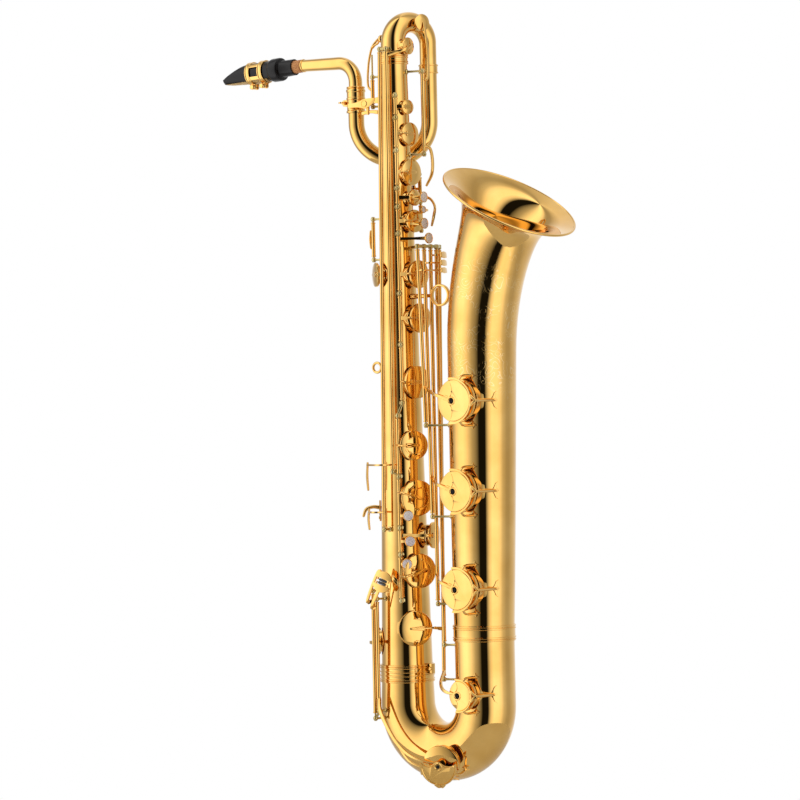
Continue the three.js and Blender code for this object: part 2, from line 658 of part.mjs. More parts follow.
SCREW_AT.forEach((along, i) => {
  const drop = -LUG_DROP - 0.6;
  add(`ligature_screw_${i + 1}`, join(
    rod(onMouthpiece(along, drop, -5.2), onMouthpiece(along, drop, 6), 1.1),
    rod(onMouthpiece(along, drop, -8.6), onMouthpiece(along, drop, -5), 3.4, 10),
  ), brass);
});

// ---------------------------------------------------------------- key guards

const FOOT_SPREAD = 1.2;         // a side foot stands this much further out than its leg starts

// A half-moon plate over one side of a key cup, on three feet, with a boss for the bumper felt.
function guard(name, spec, side, feetReach) {
  const across = squareTo(side, spec.normal);
  const along = spec.normal.clone().cross(across);
  const lift = spec.seat + GUARD_LIFT;
  const at = (x, y, height) => spec.centre.clone().addScaledVector(spec.normal, height)
    .addScaledVector(across, x).addScaledVector(along, y);
  const R = spec.radius + 1;
  const moon = new THREE.Shape();
  moon.absarc(0, 0, R, -1.75, 1.75);
  moon.quadraticCurveTo(R * 0.12, R * 0.55, -4, 5.5);
  moon.lineTo(-6.5, 0);
  moon.lineTo(-4, -5.5);
  moon.quadraticCurveTo(R * 0.12, -R * 0.55, R * Math.cos(-1.75), R * Math.sin(-1.75));
  const surface = (x) => Math.sqrt(spec.tubeR ** 2 - x ** 2) + GAP + 0.6;
  const legs = [[0, feetReach], [1.15, 0], [-1.15, 0]].map(([turn, reach]) => {
    const rimX = (R - 1) * Math.cos(turn);
    const rimY = (R - 1) * Math.sin(turn);
    const footX = reach || rimX + 2;
    const footY = rimY * FOOT_SPREAD;
    const footHeight = surface(footX);
    const foot = at(footX, footY, footHeight);
    const outward = foot.clone().sub(at(0, footY, 0)).normalize();
    const ankle = foot.clone().addScaledVector(outward, 2.6);
    const knee = reach ? [at((rimX + footX) / 2 + 1.5, footY, lift - 3)] : [];
    return join(
      bars([at(rimX, rimY, lift + 0.7), ...knee, ankle], 4, 2.2, spec.normal),
      rod(foot, ankle, 4.5, 6),
    );
  });
  const boss = rod(at(0, 0, lift - 2.2), at(0, 0, lift + 2.6), 5.4, 8);
  add(name, join(plate(moon, 1.5, at(0, 0, lift), spec.normal, across, 3), legs, boss), brass);
}

const TOWARDS_BELL = v(1, 0, 0);
guard('low_b_flat_guard', bellHoles.low_b_flat, TOWARDS_BELL, 35);
guard('low_b_guard', bellHoles.low_b, TOWARDS_BELL, 34.5);
guard('low_a_guard', bellHoles.low_a, TOWARDS_BELL, 33);
guard('low_c_sharp_guard', bowHoles.low_c_sharp, TOWARDS_BELL, 29);
guard('low_c_guard', bowHoles.low_c, v(0, 0, -1), 27);

// ---------------------------------------------------------------- hinge lines and their posts

// A straight hinge rod from its upper end to its lower end.
function hingeLine(top, bottom) {
  const at = (z) => top.clone().lerp(bottom, (z - top.z) / (bottom.z - top.z));
  return { top, bottom, axis: bottom.clone().sub(top).normalize(), at };
}

const lines = {
  upper: hingeLine(polar(-52, 28, 345), polar(-52, 35.8, -46)),
  lower: hingeLine(polar(-62, 37.4, -62), polar(-62, 42, -296)),
  long_right: hingeLine(polar(-94, 27.4, 404), polar(-94, 39.6, -206)),
  long_left: hingeLine(polar(-74.5, 27, 404), polar(-74.5, 37.6, -133)),
  palm: hingeLine(v(37, 11, 376), v(37, 11, 270)),
  left: hingeLine(polar(52, 31, 246), polar(52, 32, 174)),
  octave: hingeLine(polar(-169.4, 30.5, 398), polar(-169.4, 30.5, 334)),
  thumb: hingeLine(polar(-172, 35, 190), polar(-172, 35, 138)),
  table_1: hingeLine(polar(-118.7, 46, -284), polar(-118.7, 46.5, -446)),
  table_2: hingeLine(polar(-111, 44, -294), polar(-111, 44.5, -436)),
  bell_1: hingeLine(v(44, -18.7, 152), v(60, -31, -75)),
  bell_2: hingeLine(v(46, -7, 152), v(64, -27, -190)),
  bell_3: hingeLine(v(47.5, 5, 152), v(66, -22, -300)),
  bell_4: hingeLine(v(48, 17, 152), v(70, -16, -352)),
  bell_5: hingeLine(v(44, 29, 152), v(64, -10, -396)),
};

function post(foot, head, axis) {
  const reach = axis.clone().multiplyScalar(POST_BALL_R - 0.3);
  const eyeSolid = rod(head.clone().sub(reach), head.clone().add(reach), POST_BALL_R - 0.2, 6);
  return join(rod(foot, head, POST_R, 4), eyeSolid);
}

// A post standing square on the body tube under a hinge line.
function bodyPost(line, z) {
  const head = line.at(z);
  const outward = v(head.x, head.y, 0).normalize();
  return post(outward.clone().multiplyScalar(bodyRadius(z) + GAP + 0.2).setZ(z), head, line.axis);
}

function pin(line) {
  return rod(line.top, line.bottom, PIN_R, 5);
}

const postHeights = {
  upper: [345, 316.5, 275, 227, 203, 169, 93, 28, -46],
  lower: [-62, -139, -204, -238, -296],
  long_right: [404, -206],
  long_left: [404, -133],
  palm: [376, 270],
  left: [246, 210, 174],
  octave: [372, 334],
  thumb: [190, 138],
  table_1: [-284, -446],
  table_2: [-294, -436],
};

const BRIDGE = 3;                // thickness of a bar that joins two posts

function rodsAndPosts(name, lineNames, ...bridges) {
  const standing = lineNames.map((lineName) => {
    const line = lines[lineName];
    return join(pin(line), postHeights[lineName].map((z) => bodyPost(line, z)));
  });
  const joined = bridges.map(([a, b]) => bar(a, b, BRIDGE, BRIDGE, polar(30, 1, 0)));
  add(name, join(standing, joined), steel);
}

rodsAndPosts('stack_rods_and_posts', ['upper', 'lower'], [lines.upper.bottom, lines.lower.top]);
rodsAndPosts('long_rods_and_posts', ['long_right', 'long_left'], [lines.long_right.top, lines.long_left.top]);
rodsAndPosts('palm_rod_and_posts', ['palm']);
rodsAndPosts('left_rod_and_posts', ['left']);
rodsAndPosts('octave_rods_and_posts', ['octave', 'thumb'], [
  polar(-170.6, bodyRadius(334) + GAP + BRIDGE / 2 + 0.5, 336),
  polar(-170.6, bodyRadius(138) + GAP + BRIDGE / 2 + 0.5, 136),
]);
rodsAndPosts('table_rods_and_posts', ['table_1', 'table_2'], [lines.table_1.at(-447), lines.table_2.at(-438)]);

// The bell-key rods share a bracket on the body tube and end on posts that stand on the bell side.
const bellLines = [lines.bell_1, lines.bell_2, lines.bell_3, lines.bell_4, lines.bell_5];
const bracketTop = bellLines.map((line) => line.top);
const bracketStem = [v(bodyRadius(152) + GAP + 2.5, 4, 152), v(47, 4, 152)];
const bellFoot = (head) => {
  const centre = head.z > BELL_BOTTOM_Z - 20 ? bellAxisAt(head.z) : bowSide.clone().setZ(head.z);
  const radius = head.z > BELL_BOTTOM_Z - 20 ? bellRadius(BELL_LENGTH - (head.z - BELL_BOTTOM_Z)) : 37.7;
  return centre.clone().addScaledVector(head.clone().sub(centre).setZ(0).normalize(), radius + GAP + 0.2);
};
add('bell_key_rods', join(
  bars(bracketTop, 5, 4, Z), bars(bracketStem, 6, 4, Z),
  bellLines.map((line) => join(pin(line), post(bellFoot(line.bottom), line.bottom, line.axis))),
), steel);

// ---------------------------------------------------------------- keys

function cupSolid(spec) {
  const R = spec.radius;
  return turned([[0, 0], [R, 0], [R, 4.8], [0, CUP_HEIGHT]], spec.pad, spec.normal, 12);
}

// An arm from a hinge over the edge of a key cup to a little past its centre.
function cupArm(hinge, spec, width = 4.5, thick = 2.4) {
  const top = spec.pad.clone().addScaledVector(spec.normal, CUP_HEIGHT + thick / 2 - 0.8);
  const away = squareTo(hinge.clone().sub(top), spec.normal);
  const edge = top.clone().addScaledVector(away, spec.radius + 1.5);
  const tip = top.clone().addScaledVector(away, -spec.radius * 0.3);
  return bars([hinge, edge, tip], width, thick, spec.normal);
}

// A key: its tube on a hinge line from one height to another, with what is soldered to it.
function key(name, line, from, to, pieces, { bore = PIN_BORE_R, material = brass, radius = HINGE_R } = {}) {
  const whole = join(rod(line.at(from), line.at(to), radius, KEY_TUBE_SIDES), pieces);
  const through = rod(line.at(from + 8), line.at(to - 8), bore, 5);
  add(name, whole.subtract(through), material);
}

function pearl(centre, direction, radius) {
  return turned([[0, 0], [radius, 0], [radius, 2.8], [0, 4]], centre, direction, 8);
}

// A pearl on a stalk that stands on an arm.
function pearlTouch(line, z, centre, direction, radius) {
  const arm = centre.clone().addScaledVector(direction, -0.4);
  return join(bars([line.at(z), arm], 3.6, 2.4, direction), pearl(centre, direction, radius));
}

const cupKey = (name, line, from, to, spec, armZ, extra = []) => key(
  name, line, from, to, [cupSolid(spec), ...cupArm(line.at(armZ), spec), ...extra],
);

const leftPearl = (z, radius, r = 47) => pearlTouch(lines.upper, z, polar(-5, r - 4, z), polar(-5, 1, 0), radius);
cupKey('palm_f_key', lines.upper, 341.3, 320.2, holes.palm_f, 330);
cupKey('palm_e_flat_key', lines.upper, 312.8, 278.7, holes.palm_e_flat, 296);
cupKey('palm_d_key', lines.upper, 271.3, 230.7, holes.palm_d, 247);
cupKey('b_key', lines.upper, 223.3, 206.7, holes.b, 214.4, [leftPearl(214.4, 7)]);
cupKey('a_key', lines.upper, 199.3, 172.7, holes.a, 184.6, [leftPearl(181, 7)]);
cupKey('g_key', lines.upper, 165.3, 96.7, holes.g, 117, [leftPearl(162, 7, 54)]);
cupKey('upper_f_sharp_key', lines.upper, 89.3, 31.7, holes.upper_f_sharp, 61.3);
cupKey('g_sharp_key', lines.upper, 24.3, -42.3, holes.g_sharp, -20);

const rightPearl = (z, angle) => pearlTouch(
  lines.lower, z, polar(angle, bodyRadius(z) + 15, z), polar(-52, 1, 0), 6.9,
);
cupKey('f_sharp_key', lines.lower, -65.7, -135.3, holes.f_sharp, -100);
cupKey('f_key', lines.lower, -142.7, -200.3, holes.f, -160, [rightPearl(-188.6, -47)]);
cupKey('e_key', lines.lower, -207.7, -234.3, holes.e, -214, [rightPearl(-221, -45)]);
cupKey('d_key', lines.lower, -241.7, -292.3, holes.d, -266, [rightPearl(-249.7, -51)]);

// A side key: a long tube with a spatula that the right hand's palm or knuckle presses.
function spatula(line, z, angle, reach, low, high) {
  const over = [line.at(z), polar((angle + 2 * THREE.MathUtils.radToDeg(Math.atan2(line.at(z).y, line.at(z).x))) / 3,
    reach + 3, z)];
  const end = polar(angle, reach, z);
  const touch = bar(polar(angle, reach, low), polar(angle, reach, high), 5, 3, polar(angle, 1, 0));
  return [...bars([...over, end], 4, 2.6, Z), touch];
}

cupKey('high_e_key', lines.long_left, 400.3, -129.3, topHoles.high_e, 396,
  spatula(lines.long_left, -124, -126, 47, -156, -121));
cupKey('side_c_key', lines.long_right, 400.3, -202.3, holes.side_c, 118,
  spatula(lines.long_right, -184, -126, 46.5, -206, -180));

const palmLever = [v(37, 11, 281), v(45, 12.5, 277), v(51, 9, 262), v(51, 7, 244), v(45, 3, 229)];
const highFSharpArm = [v(37, 11, 366), v(43.5, 13, 368), v(42, 16, 400), v(36.5, 20, 426)];
key('high_f_sharp_key', lines.palm, 372.3, 273.7, [
  cupSolid(topHoles.high_f_sharp),
  ...bars([...highFSharpArm, topHoles.high_f_sharp.pad.clone().addScaledVector(topHoles.high_f_sharp.normal, 6)],
    3.6, 2.6, v(1, 0, 0)),
  wire(palmLever, 2.6),
]);

const trillLever = [lines.left.at(217), v(36, 22, 214), v(50, 13, 203), v(51, 9, 190), v(49, 7, 178)];
cupKey('side_trill_key', lines.left, 242.3, 213.7, holes.trill, 228, [wire(trillLever, 2.2)]);
key('bis_key', lines.left, 206.3, 177.7, [
  ...bars([lines.left.at(198.5), v(38, 14, 198.5), v(42.6, -4.4, 198.5)], 3.2, 2.2, polar(-5, 1, 0)),
  pearl(polar(-5, 42, 198.5), polar(-5, 1, 0), 4.6),
]);

key('octave_key', lines.octave, 368.3, 337.7, [
  wire([v(-30, -5.6, 354), v(-37.5, -5, 362), v(-38.5, -2, 388), v(-34, 0, 410), v(-26, 2.6, 421)], 1.5, 6, 8),
  cupSolid(topHoles.octave),
  ...cupArm(v(-34, 0, 410), topHoles.octave, 2.8, 2),
]);
key('octave_thumb_lever', lines.thumb, 186.3, 141.7, [
  ...bars([lines.thumb.at(164), polar(178, 42, 164)], 8, 2.6, polar(-90, 1, 0)),
  bar(polar(178, 42, 153), polar(178, 42, 176), 9, 2.6, polar(178, 1, 0)),
]);

// Right-hand little-finger table: two half-round touches, each with a roller along its straight edge.
const TABLE = v(1, -50, -272);
const TABLE_NORMAL = v(0.15, -0.98, 0.12).normalize();
const TABLE_SLOPE = v(0.93, 0.1, -0.34);
const TABLE_R = 13.5;
const SPLIT = 4;                 // half the space between the two touches' straight edges

function halfTouch(sign) {
  const shape = new THREE.Shape();
  const start = Math.asin(SPLIT / TABLE_R);
  shape.absarc(0, 0, TABLE_R, start, Math.PI - start);
  shape.closePath();
  const side = TABLE_SLOPE.clone().multiplyScalar(sign);
  return plate(shape, 2.4, TABLE, TABLE_NORMAL, side, 5);
}

const tableAxes = axesOf(TABLE_NORMAL, TABLE_SLOPE);
const onTable = (x, y, h) => v(x, y, h).applyMatrix4(tableAxes).add(TABLE);
const ROLLER_R = 1.7;
const ROLLER_HALF = 6.5;
const ROLLER_Y = 1.9;

function rollerHolder(sign) {
  return [-1, 1].map((end) => bar(
    onTable(end * (ROLLER_HALF + 1.6), sign * ROLLER_Y * 0.8, 0.6), onTable(end * (ROLLER_HALF + 1.6), sign * 5.5, 0.6),
    2, 2.2, TABLE_NORMAL,
  ));
}

const upperTouch = [halfTouch(1), ...rollerHolder(1), ...bars([
  lines.table_1.at(-296), polar(-118.7, 54, -296), onTable(-12, 9, -1), onTable(-4, 8, 0.4)], 4, 2.4, TABLE_NORMAL)];
const lowerTouch = [halfTouch(-1), ...rollerHolder(-1), ...bars([
  lines.table_2.at(-304), polar(-111, 52, -304), onTable(-2, -9, 0.4)], 4, 2.4, TABLE_NORMAL)];
cupKey('e_flat_key', lines.table_1, -287.7, -439.5, holes.e_flat, -350, upperTouch);
const lowCArm = [lines.table_2.at(-420), v(-6, -51, -438), v(22, -57, -474), v(52, -60, -492)];
key('low_c_key', lines.table_2, -297.7, -432.3, [
  cupSolid(bowHoles.low_c), ...lowerTouch,
  ...bars([...lowCArm, bowHoles.low_c.pad.clone().addScaledVector(bowHoles.low_c.normal, 6)], 4.5, 2.6, FRONT),
]);
[['e_flat', 1], ['low_c', -1]].forEach(([name, sign]) => {
  add(`${name}_roller`, rod(
    onTable(-ROLLER_HALF + 0.9, sign * ROLLER_Y, 1.2), onTable(ROLLER_HALF - 0.9, sign * ROLLER_Y, 1.2), ROLLER_R,
  ), rollerBlack);
});

// Left-hand little-finger table: one touch above the other, on arms from the bell-key tubes.
const LEFT_TABLE = v(63, 12, 0);
const LEFT_NORMAL = v(0.94, 0.3, 0.1).normalize();
const LEFT_ACROSS = v(-0.3, 0.94, 0);

function leftTouch(line, armZ, z, height, from, to) {
  const a = LEFT_TABLE.clone().addScaledVector(LEFT_ACROSS, from).setZ(z);
  const b = LEFT_TABLE.clone().addScaledVector(LEFT_ACROSS, to).setZ(z);
  const mid = a.clone().lerp(b, 0.5);
  const over = line.at(armZ).add(v(9, 1, 0));
  return [
    bar(a, b, height, 2.6, LEFT_NORMAL),
    ...bars([line.at(armZ), over, mid.clone().add(v(-4, 0, 0)), mid], 3.6, 2.4, Z),
  ];
}

const bellKey = (name, line, to, spec, armRise, touch) => cupKey(
  name, line, 148, to, spec, spec.centre.z + armRise, touch,
);
bellKey('low_b_flat_key', lines.bell_1, -71, bellHoles.low_b_flat, 18, leftTouch(lines.bell_1, 121, 121, 8, -12, 9));
bellKey('low_b_key', lines.bell_2, -186, bellHoles.low_b, 18, leftTouch(lines.bell_2, 130.5, 130.5, 8.6, -12, 9));
bellKey('low_a_key', lines.bell_3, -296, bellHoles.low_a, 18, leftTouch(lines.bell_3, 140.5, 140.5, 9, -12, 9));
cupKey('low_d_key', lines.bell_4, 148, -348, holes.low_d, -331.8);
const lowCSharpArm = [lines.bell_5.at(-386), v(80, -40, -398), v(96, -53.5, -407)];
key('low_c_sharp_key', lines.bell_5, 148, -392, [
  cupSolid(bowHoles.low_c_sharp),
  ...bars([...lowCSharpArm, bowHoles.low_c_sharp.pad.clone().addScaledVector(FRONT, 6.4)], 4.5, 2.6, FRONT),
]);

// ---------------------------------------------------------------- strap ring, thumb hook, thumb rest

const STRAP_WIRE_R = 1.7;
const STRAP_RING_R = 6.2;
const eye = v(-STRAP_EYE_TO_AXIS, 0, 0);
const strapRing = solid(new THREE.TorusGeometry(STRAP_RING_R, STRAP_WIRE_R, 8, 14)
  .rotateX(Math.PI / 2).translate(eye.x, eye.y, eye.z));
const strapPlateX = -bodyRadius(0) - GAP - 1.4;
add('strap_ring', join(
  strapRing,
  bar(v(strapPlateX, 0, -14), v(strapPlateX, 0, 14), 9, 2, v(-1, 0, 0)),
  bar(v(strapPlateX, 0, 0), v(eye.x + STRAP_RING_R, 0, 0), 8, 3, v(0, 1, 0)),
), brass);

const HOOK_Z = -183;
const hookFoot = polar(-152, bodyRadius(HOOK_Z) + GAP + 1.4, HOOK_Z);
const hookOut = polar(-152, 1, 0);
add('thumb_hook', join(
  bar(hookFoot.clone().add(v(0, 0, 13)), hookFoot.clone().add(v(0, 0, -13)), 10, 2, hookOut),
  wire([
    hookFoot.clone().add(v(0, 0, 4)), hookFoot.clone().addScaledVector(hookOut, 9).add(v(0, 0, 5)),
    hookFoot.clone().addScaledVector(hookOut, 18).add(v(0, 0, 2)),
    hookFoot.clone().addScaledVector(hookOut, 22).add(v(0, 0, -7)),
  ], 3, 8, 8),
), brass);

const REST_Z = 120;
const restFoot = polar(172, bodyRadius(REST_Z) + GAP + 0.2, REST_Z);
add('thumb_rest', turned([[0, 0], [8, 0], [8, 2], [5, 3], [5, 6], [7.6, 7.5], [7.6, 9.5], [5, 11], [0, 11.5]],
  restFoot, polar(172, 1, 0), 14), rollerBlack);

model.position.set(STRAP_EYE_TO_AXIS, 0, 0);

export default model;
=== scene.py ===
import math

import bpy
from mathutils import Matrix, Vector


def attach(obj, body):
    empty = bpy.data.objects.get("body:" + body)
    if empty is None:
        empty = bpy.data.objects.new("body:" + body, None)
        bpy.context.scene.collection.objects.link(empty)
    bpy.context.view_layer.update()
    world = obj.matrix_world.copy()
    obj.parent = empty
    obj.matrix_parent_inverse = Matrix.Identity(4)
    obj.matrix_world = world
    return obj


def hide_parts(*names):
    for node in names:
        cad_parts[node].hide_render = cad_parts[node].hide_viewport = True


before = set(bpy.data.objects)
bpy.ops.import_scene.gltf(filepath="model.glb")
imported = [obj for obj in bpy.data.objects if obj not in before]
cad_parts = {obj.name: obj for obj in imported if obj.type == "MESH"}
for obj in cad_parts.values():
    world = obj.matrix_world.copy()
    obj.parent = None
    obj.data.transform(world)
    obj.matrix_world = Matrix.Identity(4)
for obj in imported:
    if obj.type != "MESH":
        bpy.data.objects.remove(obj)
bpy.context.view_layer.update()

bpy.ops.object.select_all(action="DESELECT")

# ---------------------------------------------------------------- body tube
# The body is one long cone of sheet brass, seamed, drawn over a mandrel, buffed and lacquered.
# Its tone holes are drawn chimneys with rolled rims. Sizes are in millimetres around the body
# tube's own axis; fit() brings each finished piece to the frame's metres and hangs it there.

STRAP_EYE_TO_AXIS = 37
WALL = 1.1
GAP = 0.3
BODY_TOP_Z, BODY_TOP_R = 392, 17
BODY_BOTTOM_Z, BODY_BOTTOM_R = -390, 32.8
V = Vector
UP = V((0, 0, 1))
FRONT = V((0, -1, 0))


def linear(colour):
    parts = [int(colour[i:i + 2], 16) / 255 for i in (1, 3, 5)]
    return [c / 12.92 if c <= 0.04045 else ((c + 0.055) / 1.055) ** 2.4 for c in parts] + [1]


def node(tree, kind, links=(), **settings):
    made = tree.nodes.new(kind)
    for name, value in settings.items():
        if name.startswith("in_"):
            key = name[3:].replace("_", " ")
            socket = made.inputs[int(key)] if key.isdigit() else made.inputs[key]
            socket.default_value = value
        else:
            setattr(made, name, value)
    for socket, source in links:
        tree.links.new(source, made.inputs[socket])
    return made


def ramp(tree, source, stops):
    made = node(tree, "ShaderNodeValToRGB", [("Fac", source)])
    elements = made.color_ramp.elements
    while len(elements) < len(stops):
        elements.new(0.5)
    for element, (place, colour) in zip(elements, stops):
        element.position = place
        element.color = linear(colour)
    return made.outputs["Color"]


def finish_metal(name, light, dark, rough, coat, grain=0.03):
    """Buffed metal: slow clouds of warmer colour, faint buffing marks and a clear lacquer."""
    material = bpy.data.materials.new(name)
    material.use_nodes = True
    tree = material.node_tree
    shader = tree.nodes["Principled BSDF"]
    place = node(tree, "ShaderNodeTexCoord").outputs["Object"]
    clouds = node(tree, "ShaderNodeTexNoise", [("Vector", place)], in_Scale=22.0, in_Detail=4.0)
    colours = ramp(tree, clouds.outputs["Fac"], [(0.35, dark), (0.65, light)])
    tree.links.new(colours, shader.inputs["Base Color"])
    streaks = node(tree, "ShaderNodeTexNoise", [("Vector", place)], in_Scale=310.0, in_Detail=3.0)
    spread = node(tree, "ShaderNodeMapRange", [("Value", streaks.outputs["Fac"])])
    spread.inputs["To Min"].default_value, spread.inputs["To Max"].default_value = rough
    tree.links.new(spread.outputs["Result"], shader.inputs["Roughness"])
    bump = node(tree, "ShaderNodeBump", [("Height", clouds.outputs["Fac"])], in_Strength=grain,
        in_Distance=0.002)
    tree.links.new(bump.outputs["Normal"], shader.inputs["Normal"])
    shader.inputs["Metallic"].default_value = 1
    shader.inputs["Coat Weight"].default_value = coat
    shader.inputs["Coat Roughness"].default_value = 0.02
    return material


# Clear-lacquered yellow brass: warm gold, mirror bright, in slow clouds of a slightly deeper tone.
brass = finish_metal("clear_lacquered_brass", "#F5C570", "#E8B55E", (0.015, 0.045), 0.25, 0.002)


def polar(angle, radius, z):
    a = math.radians(angle)
    return V((radius * math.cos(a), radius * math.sin(a), z))


def body_radius(z):
    share = (z - BODY_BOTTOM_Z) / (BODY_TOP_Z - BODY_BOTTOM_Z)
    return BODY_BOTTOM_R + (BODY_TOP_R - BODY_BOTTOM_R) * share


def pick(obj):
    bpy.ops.object.select_all(action="DESELECT")
    obj.select_set(True)
    bpy.context.view_layer.objects.active = obj


def made_of(name, points, faces=(), edges=()):
    mesh = bpy.data.meshes.new(name)
    mesh.from_pydata([tuple(p) for p in points], list(edges), list(faces))
    obj = bpy.data.objects.new(name, mesh)
    bpy.context.scene.collection.objects.link(obj)
    return obj


def face_outwards(obj):
    pick(obj)
    bpy.ops.object.mode_set(mode="EDIT")
    bpy.ops.mesh.select_all(action="SELECT")
    bpy.ops.mesh.normals_make_consistent(inside=False)
    bpy.ops.object.mode_set(mode="OBJECT")


def turned(profile, base=V((0, 0, 0)), direction=UP, steps=40):
    """A piece turned on a lathe: the profile is (radius, height) points, spun about the axis."""
    chain = [(i, i + 1) for i in range(len(profile) - 1)]
    obj = made_of("turned", [(max(r, 0), 0, h) for r, h in profile], edges=chain)
    pick(obj)
    bpy.ops.object.mode_set(mode="EDIT")
    bpy.ops.mesh.select_all(action="SELECT")
    bpy.ops.mesh.spin(steps=steps, angle=math.tau, center=(0, 0, 0), axis=(0, 0, 1))
    bpy.ops.mesh.select_all(action="SELECT")
    bpy.ops.mesh.remove_doubles(threshold=1e-4)
    bpy.ops.mesh.normals_make_consistent(inside=False)
    bpy.ops.object.mode_set(mode="OBJECT")
    turn = UP.rotation_difference(V(direction).normalized()).to_matrix().to_4x4()
    obj.data.transform(Matrix.Translation(base) @ turn)
    return obj


def joined(*objs):
    flat = [o for part in objs for o in (part if isinstance(part, (list, tuple)) else [part])]
    if len(flat) > 1:
        bpy.ops.object.select_all(action="DESELECT")
        for o in flat:
            o.select_set(True)
        bpy.context.view_layer.objects.active = flat[0]
        bpy.ops.object.join()
    return flat[0]


def fit(obj, name, body, material, slot, *nodes, smooth=35):
    obj.name = obj.data.name = name
    obj.data.transform(Matrix.Translation((STRAP_EYE_TO_AXIS / 1000, 0, 0)) @ Matrix.Scale(0.001, 4))
    pick(obj)
    bpy.ops.object.shade_smooth_by_angle(angle=math.radians(smooth))
    obj.data.materials.clear()
    obj.data.materials.append(material)
    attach(obj, body)
    if nodes:
        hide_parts(*nodes)
    return obj


def brass_on_horn(obj, name, *nodes):
    return fit(obj, name, "horn", brass, "lacquered_brass", *nodes)


class Hole:
    """A tone hole: a point on the tube's axis, the way out, the chimney's top and its pad's rest place."""

    def __init__(self, centre, normal, tube_r, radius, opening=0, chimney=4):
        self.centre, self.normal = V(centre), V(normal).normalized()
        self.tube_r, self.radius, self.opening = tube_r, radius, opening
        self.seat = tube_r + chimney
        self.pad = self.centre + self.normal * (self.seat + GAP + opening)
        self.chimney_r = radius - min(4, radius * 0.3)


def body_hole(z, angle, radius, opening=0):
    return Hole((0, 0, z), polar(angle, 1, 0), body_radius(z), radius, opening)


body_holes = {
    "palm_f": body_hole(330, -14, 9.5), "palm_e_flat": body_hole(295.6, -8, 15),
    "palm_d": body_hole(247, -8, 17), "b": body_hole(214.4, -6, 10.5, 3),
    "a": body_hole(184.6, -10, 14.5, 4), "g": body_hole(117, -5, 18, 5),
    "upper_f_sharp": body_hole(61.3, -6, 19, 5), "g_sharp": body_hole(-20, -14, 21),
    "f_sharp": body_hole(-100, -32, 19, 5), "f": body_hole(-166.7, -28, 23, 6),
    "e": body_hole(-215, 12, 17, 5), "d": body_hole(-259, -28, 22, 6),
    "low_d": body_hole(-331.8, -37, 22.5), "side_c": body_hole(118, -130, 15.5),
    "e_flat": body_hole(-350, -160, 18), "trill": body_hole(228, 88, 10),
}


def chimney(hole):
    r, top = hole.chimney_r, hole.seat
    foot = math.sqrt(max(hole.tube_r ** 2 - r ** 2, 0)) - 1
    flare = [(r + 2.4, foot + 0.2), (r + 0.9, foot + 1.6)] if r < hole.tube_r * 0.6 else []
    return turned([
        (r - 1, foot), *flare, (r, foot + 2.4), (r, top - 1.3), (r + 0.6, top - 0.9), (r + 0.7, top - 0.3),
        (r + 0.2, top + 0.1), (r - 0.7, top + 0.1), (r - 1, top - 0.5), (r - 1, foot),
    ], hole.centre, hole.normal, 48)


body_wall = turned([
    (BODY_BOTTOM_R, BODY_BOTTOM_Z), (BODY_TOP_R, BODY_TOP_Z), (BODY_TOP_R - WALL, BODY_TOP_Z),
    (BODY_BOTTOM_R - WALL, BODY_BOTTOM_Z), (BODY_BOTTOM_R, BODY_BOTTOM_Z),
], steps=96)
brass_on_horn(body_wall, "body_wall", "body_tube")
brass_on_horn(joined([chimney(hole) for hole in body_holes.values()]), "body_chimneys")

# ---------------------------------------------------------------- bottom bow and bell
# The bow is two bent shells of sheet brass carrying the cone round to the bell tube. The bell is
# hammered over a mandrel and spun at the flare, and its rim is rolled over a wire.

BOW_SPAN = 120.6
BOW_ARC_Z = -428
BELL_BOTTOM_Z = -336
BELL_BEND = V((BOW_SPAN + 6, 0, 20))
BELL_BEND_R = 353
BELL_LEAN = 31
RIM_R = 87
BELL_SHEET = 0.9
BOW_END_R = 37.8
SOCKET_LEDGE = 1.2


def line_points(a, b, step=6):
    count = max(int((b - a).length / step), 1)
    return [a.lerp(b, i / count) for i in range(count + 1)]


def arc_points(centre, first, second, radius, degrees, count):
    turns = [math.radians(degrees) * i / count for i in range(count + 1)]
    return [centre + first * (radius * math.cos(a)) + second * (radius * math.sin(a)) for a in turns]


def square_to(direction, along):
    unit = along.normalized()
    return (direction - unit * direction.dot(unit)).normalized()


class Route:
    """A line in space, measured along its length, for bending a turned tube onto."""

    def __init__(self, points):
        self.points = [points[0]] + [b for a, b in zip(points, points[1:]) if (b - a).length > 1e-6]
        self.at = [0]
        for a, b in zip(self.points, self.points[1:]):
            self.at.append(self.at[-1] + (b - a).length)
        self.length = self.at[-1]
        ends = [self.points[0] * 2 - self.points[1]] + self.points + [self.points[-1] * 2 - self.points[-2]]
        self.ways = [(c - a).normalized() for a, c in zip(ends, ends[2:])]

    def find(self, distance):
        held = min(max(distance, 0), self.length)
        low, high = 0, len(self.at) - 1
        while high - low > 1:
            mid = (low + high) // 2
            low, high = (mid, high) if self.at[mid] <= held else (low, mid)
        share = (held - self.at[low]) / (self.at[high] - self.at[low])
        way = self.ways[low].lerp(self.ways[high], share).normalized()
        return self.points[low].lerp(self.points[high], share) + way * (distance - held), way


def bent(obj, route, sideways):
    for vertex in obj.data.vertices:
        x, y, distance = vertex.co
        point, way = route.find(distance)
        across = way.cross(sideways).normalized()
        vertex.co = point + across * x + way.cross(across) * y
    face_outwards(obj)
    return obj


def tube(route, radius_at, sideways, steps, spacing=5):
    count = max(int(route.length / spacing), 2)
    stations = [route.length * i / count for i in range(count + 1)]
    outer = [(radius_at(s / route.length), s) for s in stations]
    inner = [(radius_at(s / route.length) - WALL, s) for s in reversed(stations)]
    return bent(turned(outer + inner + outer[:1], steps=steps), route, sideways)


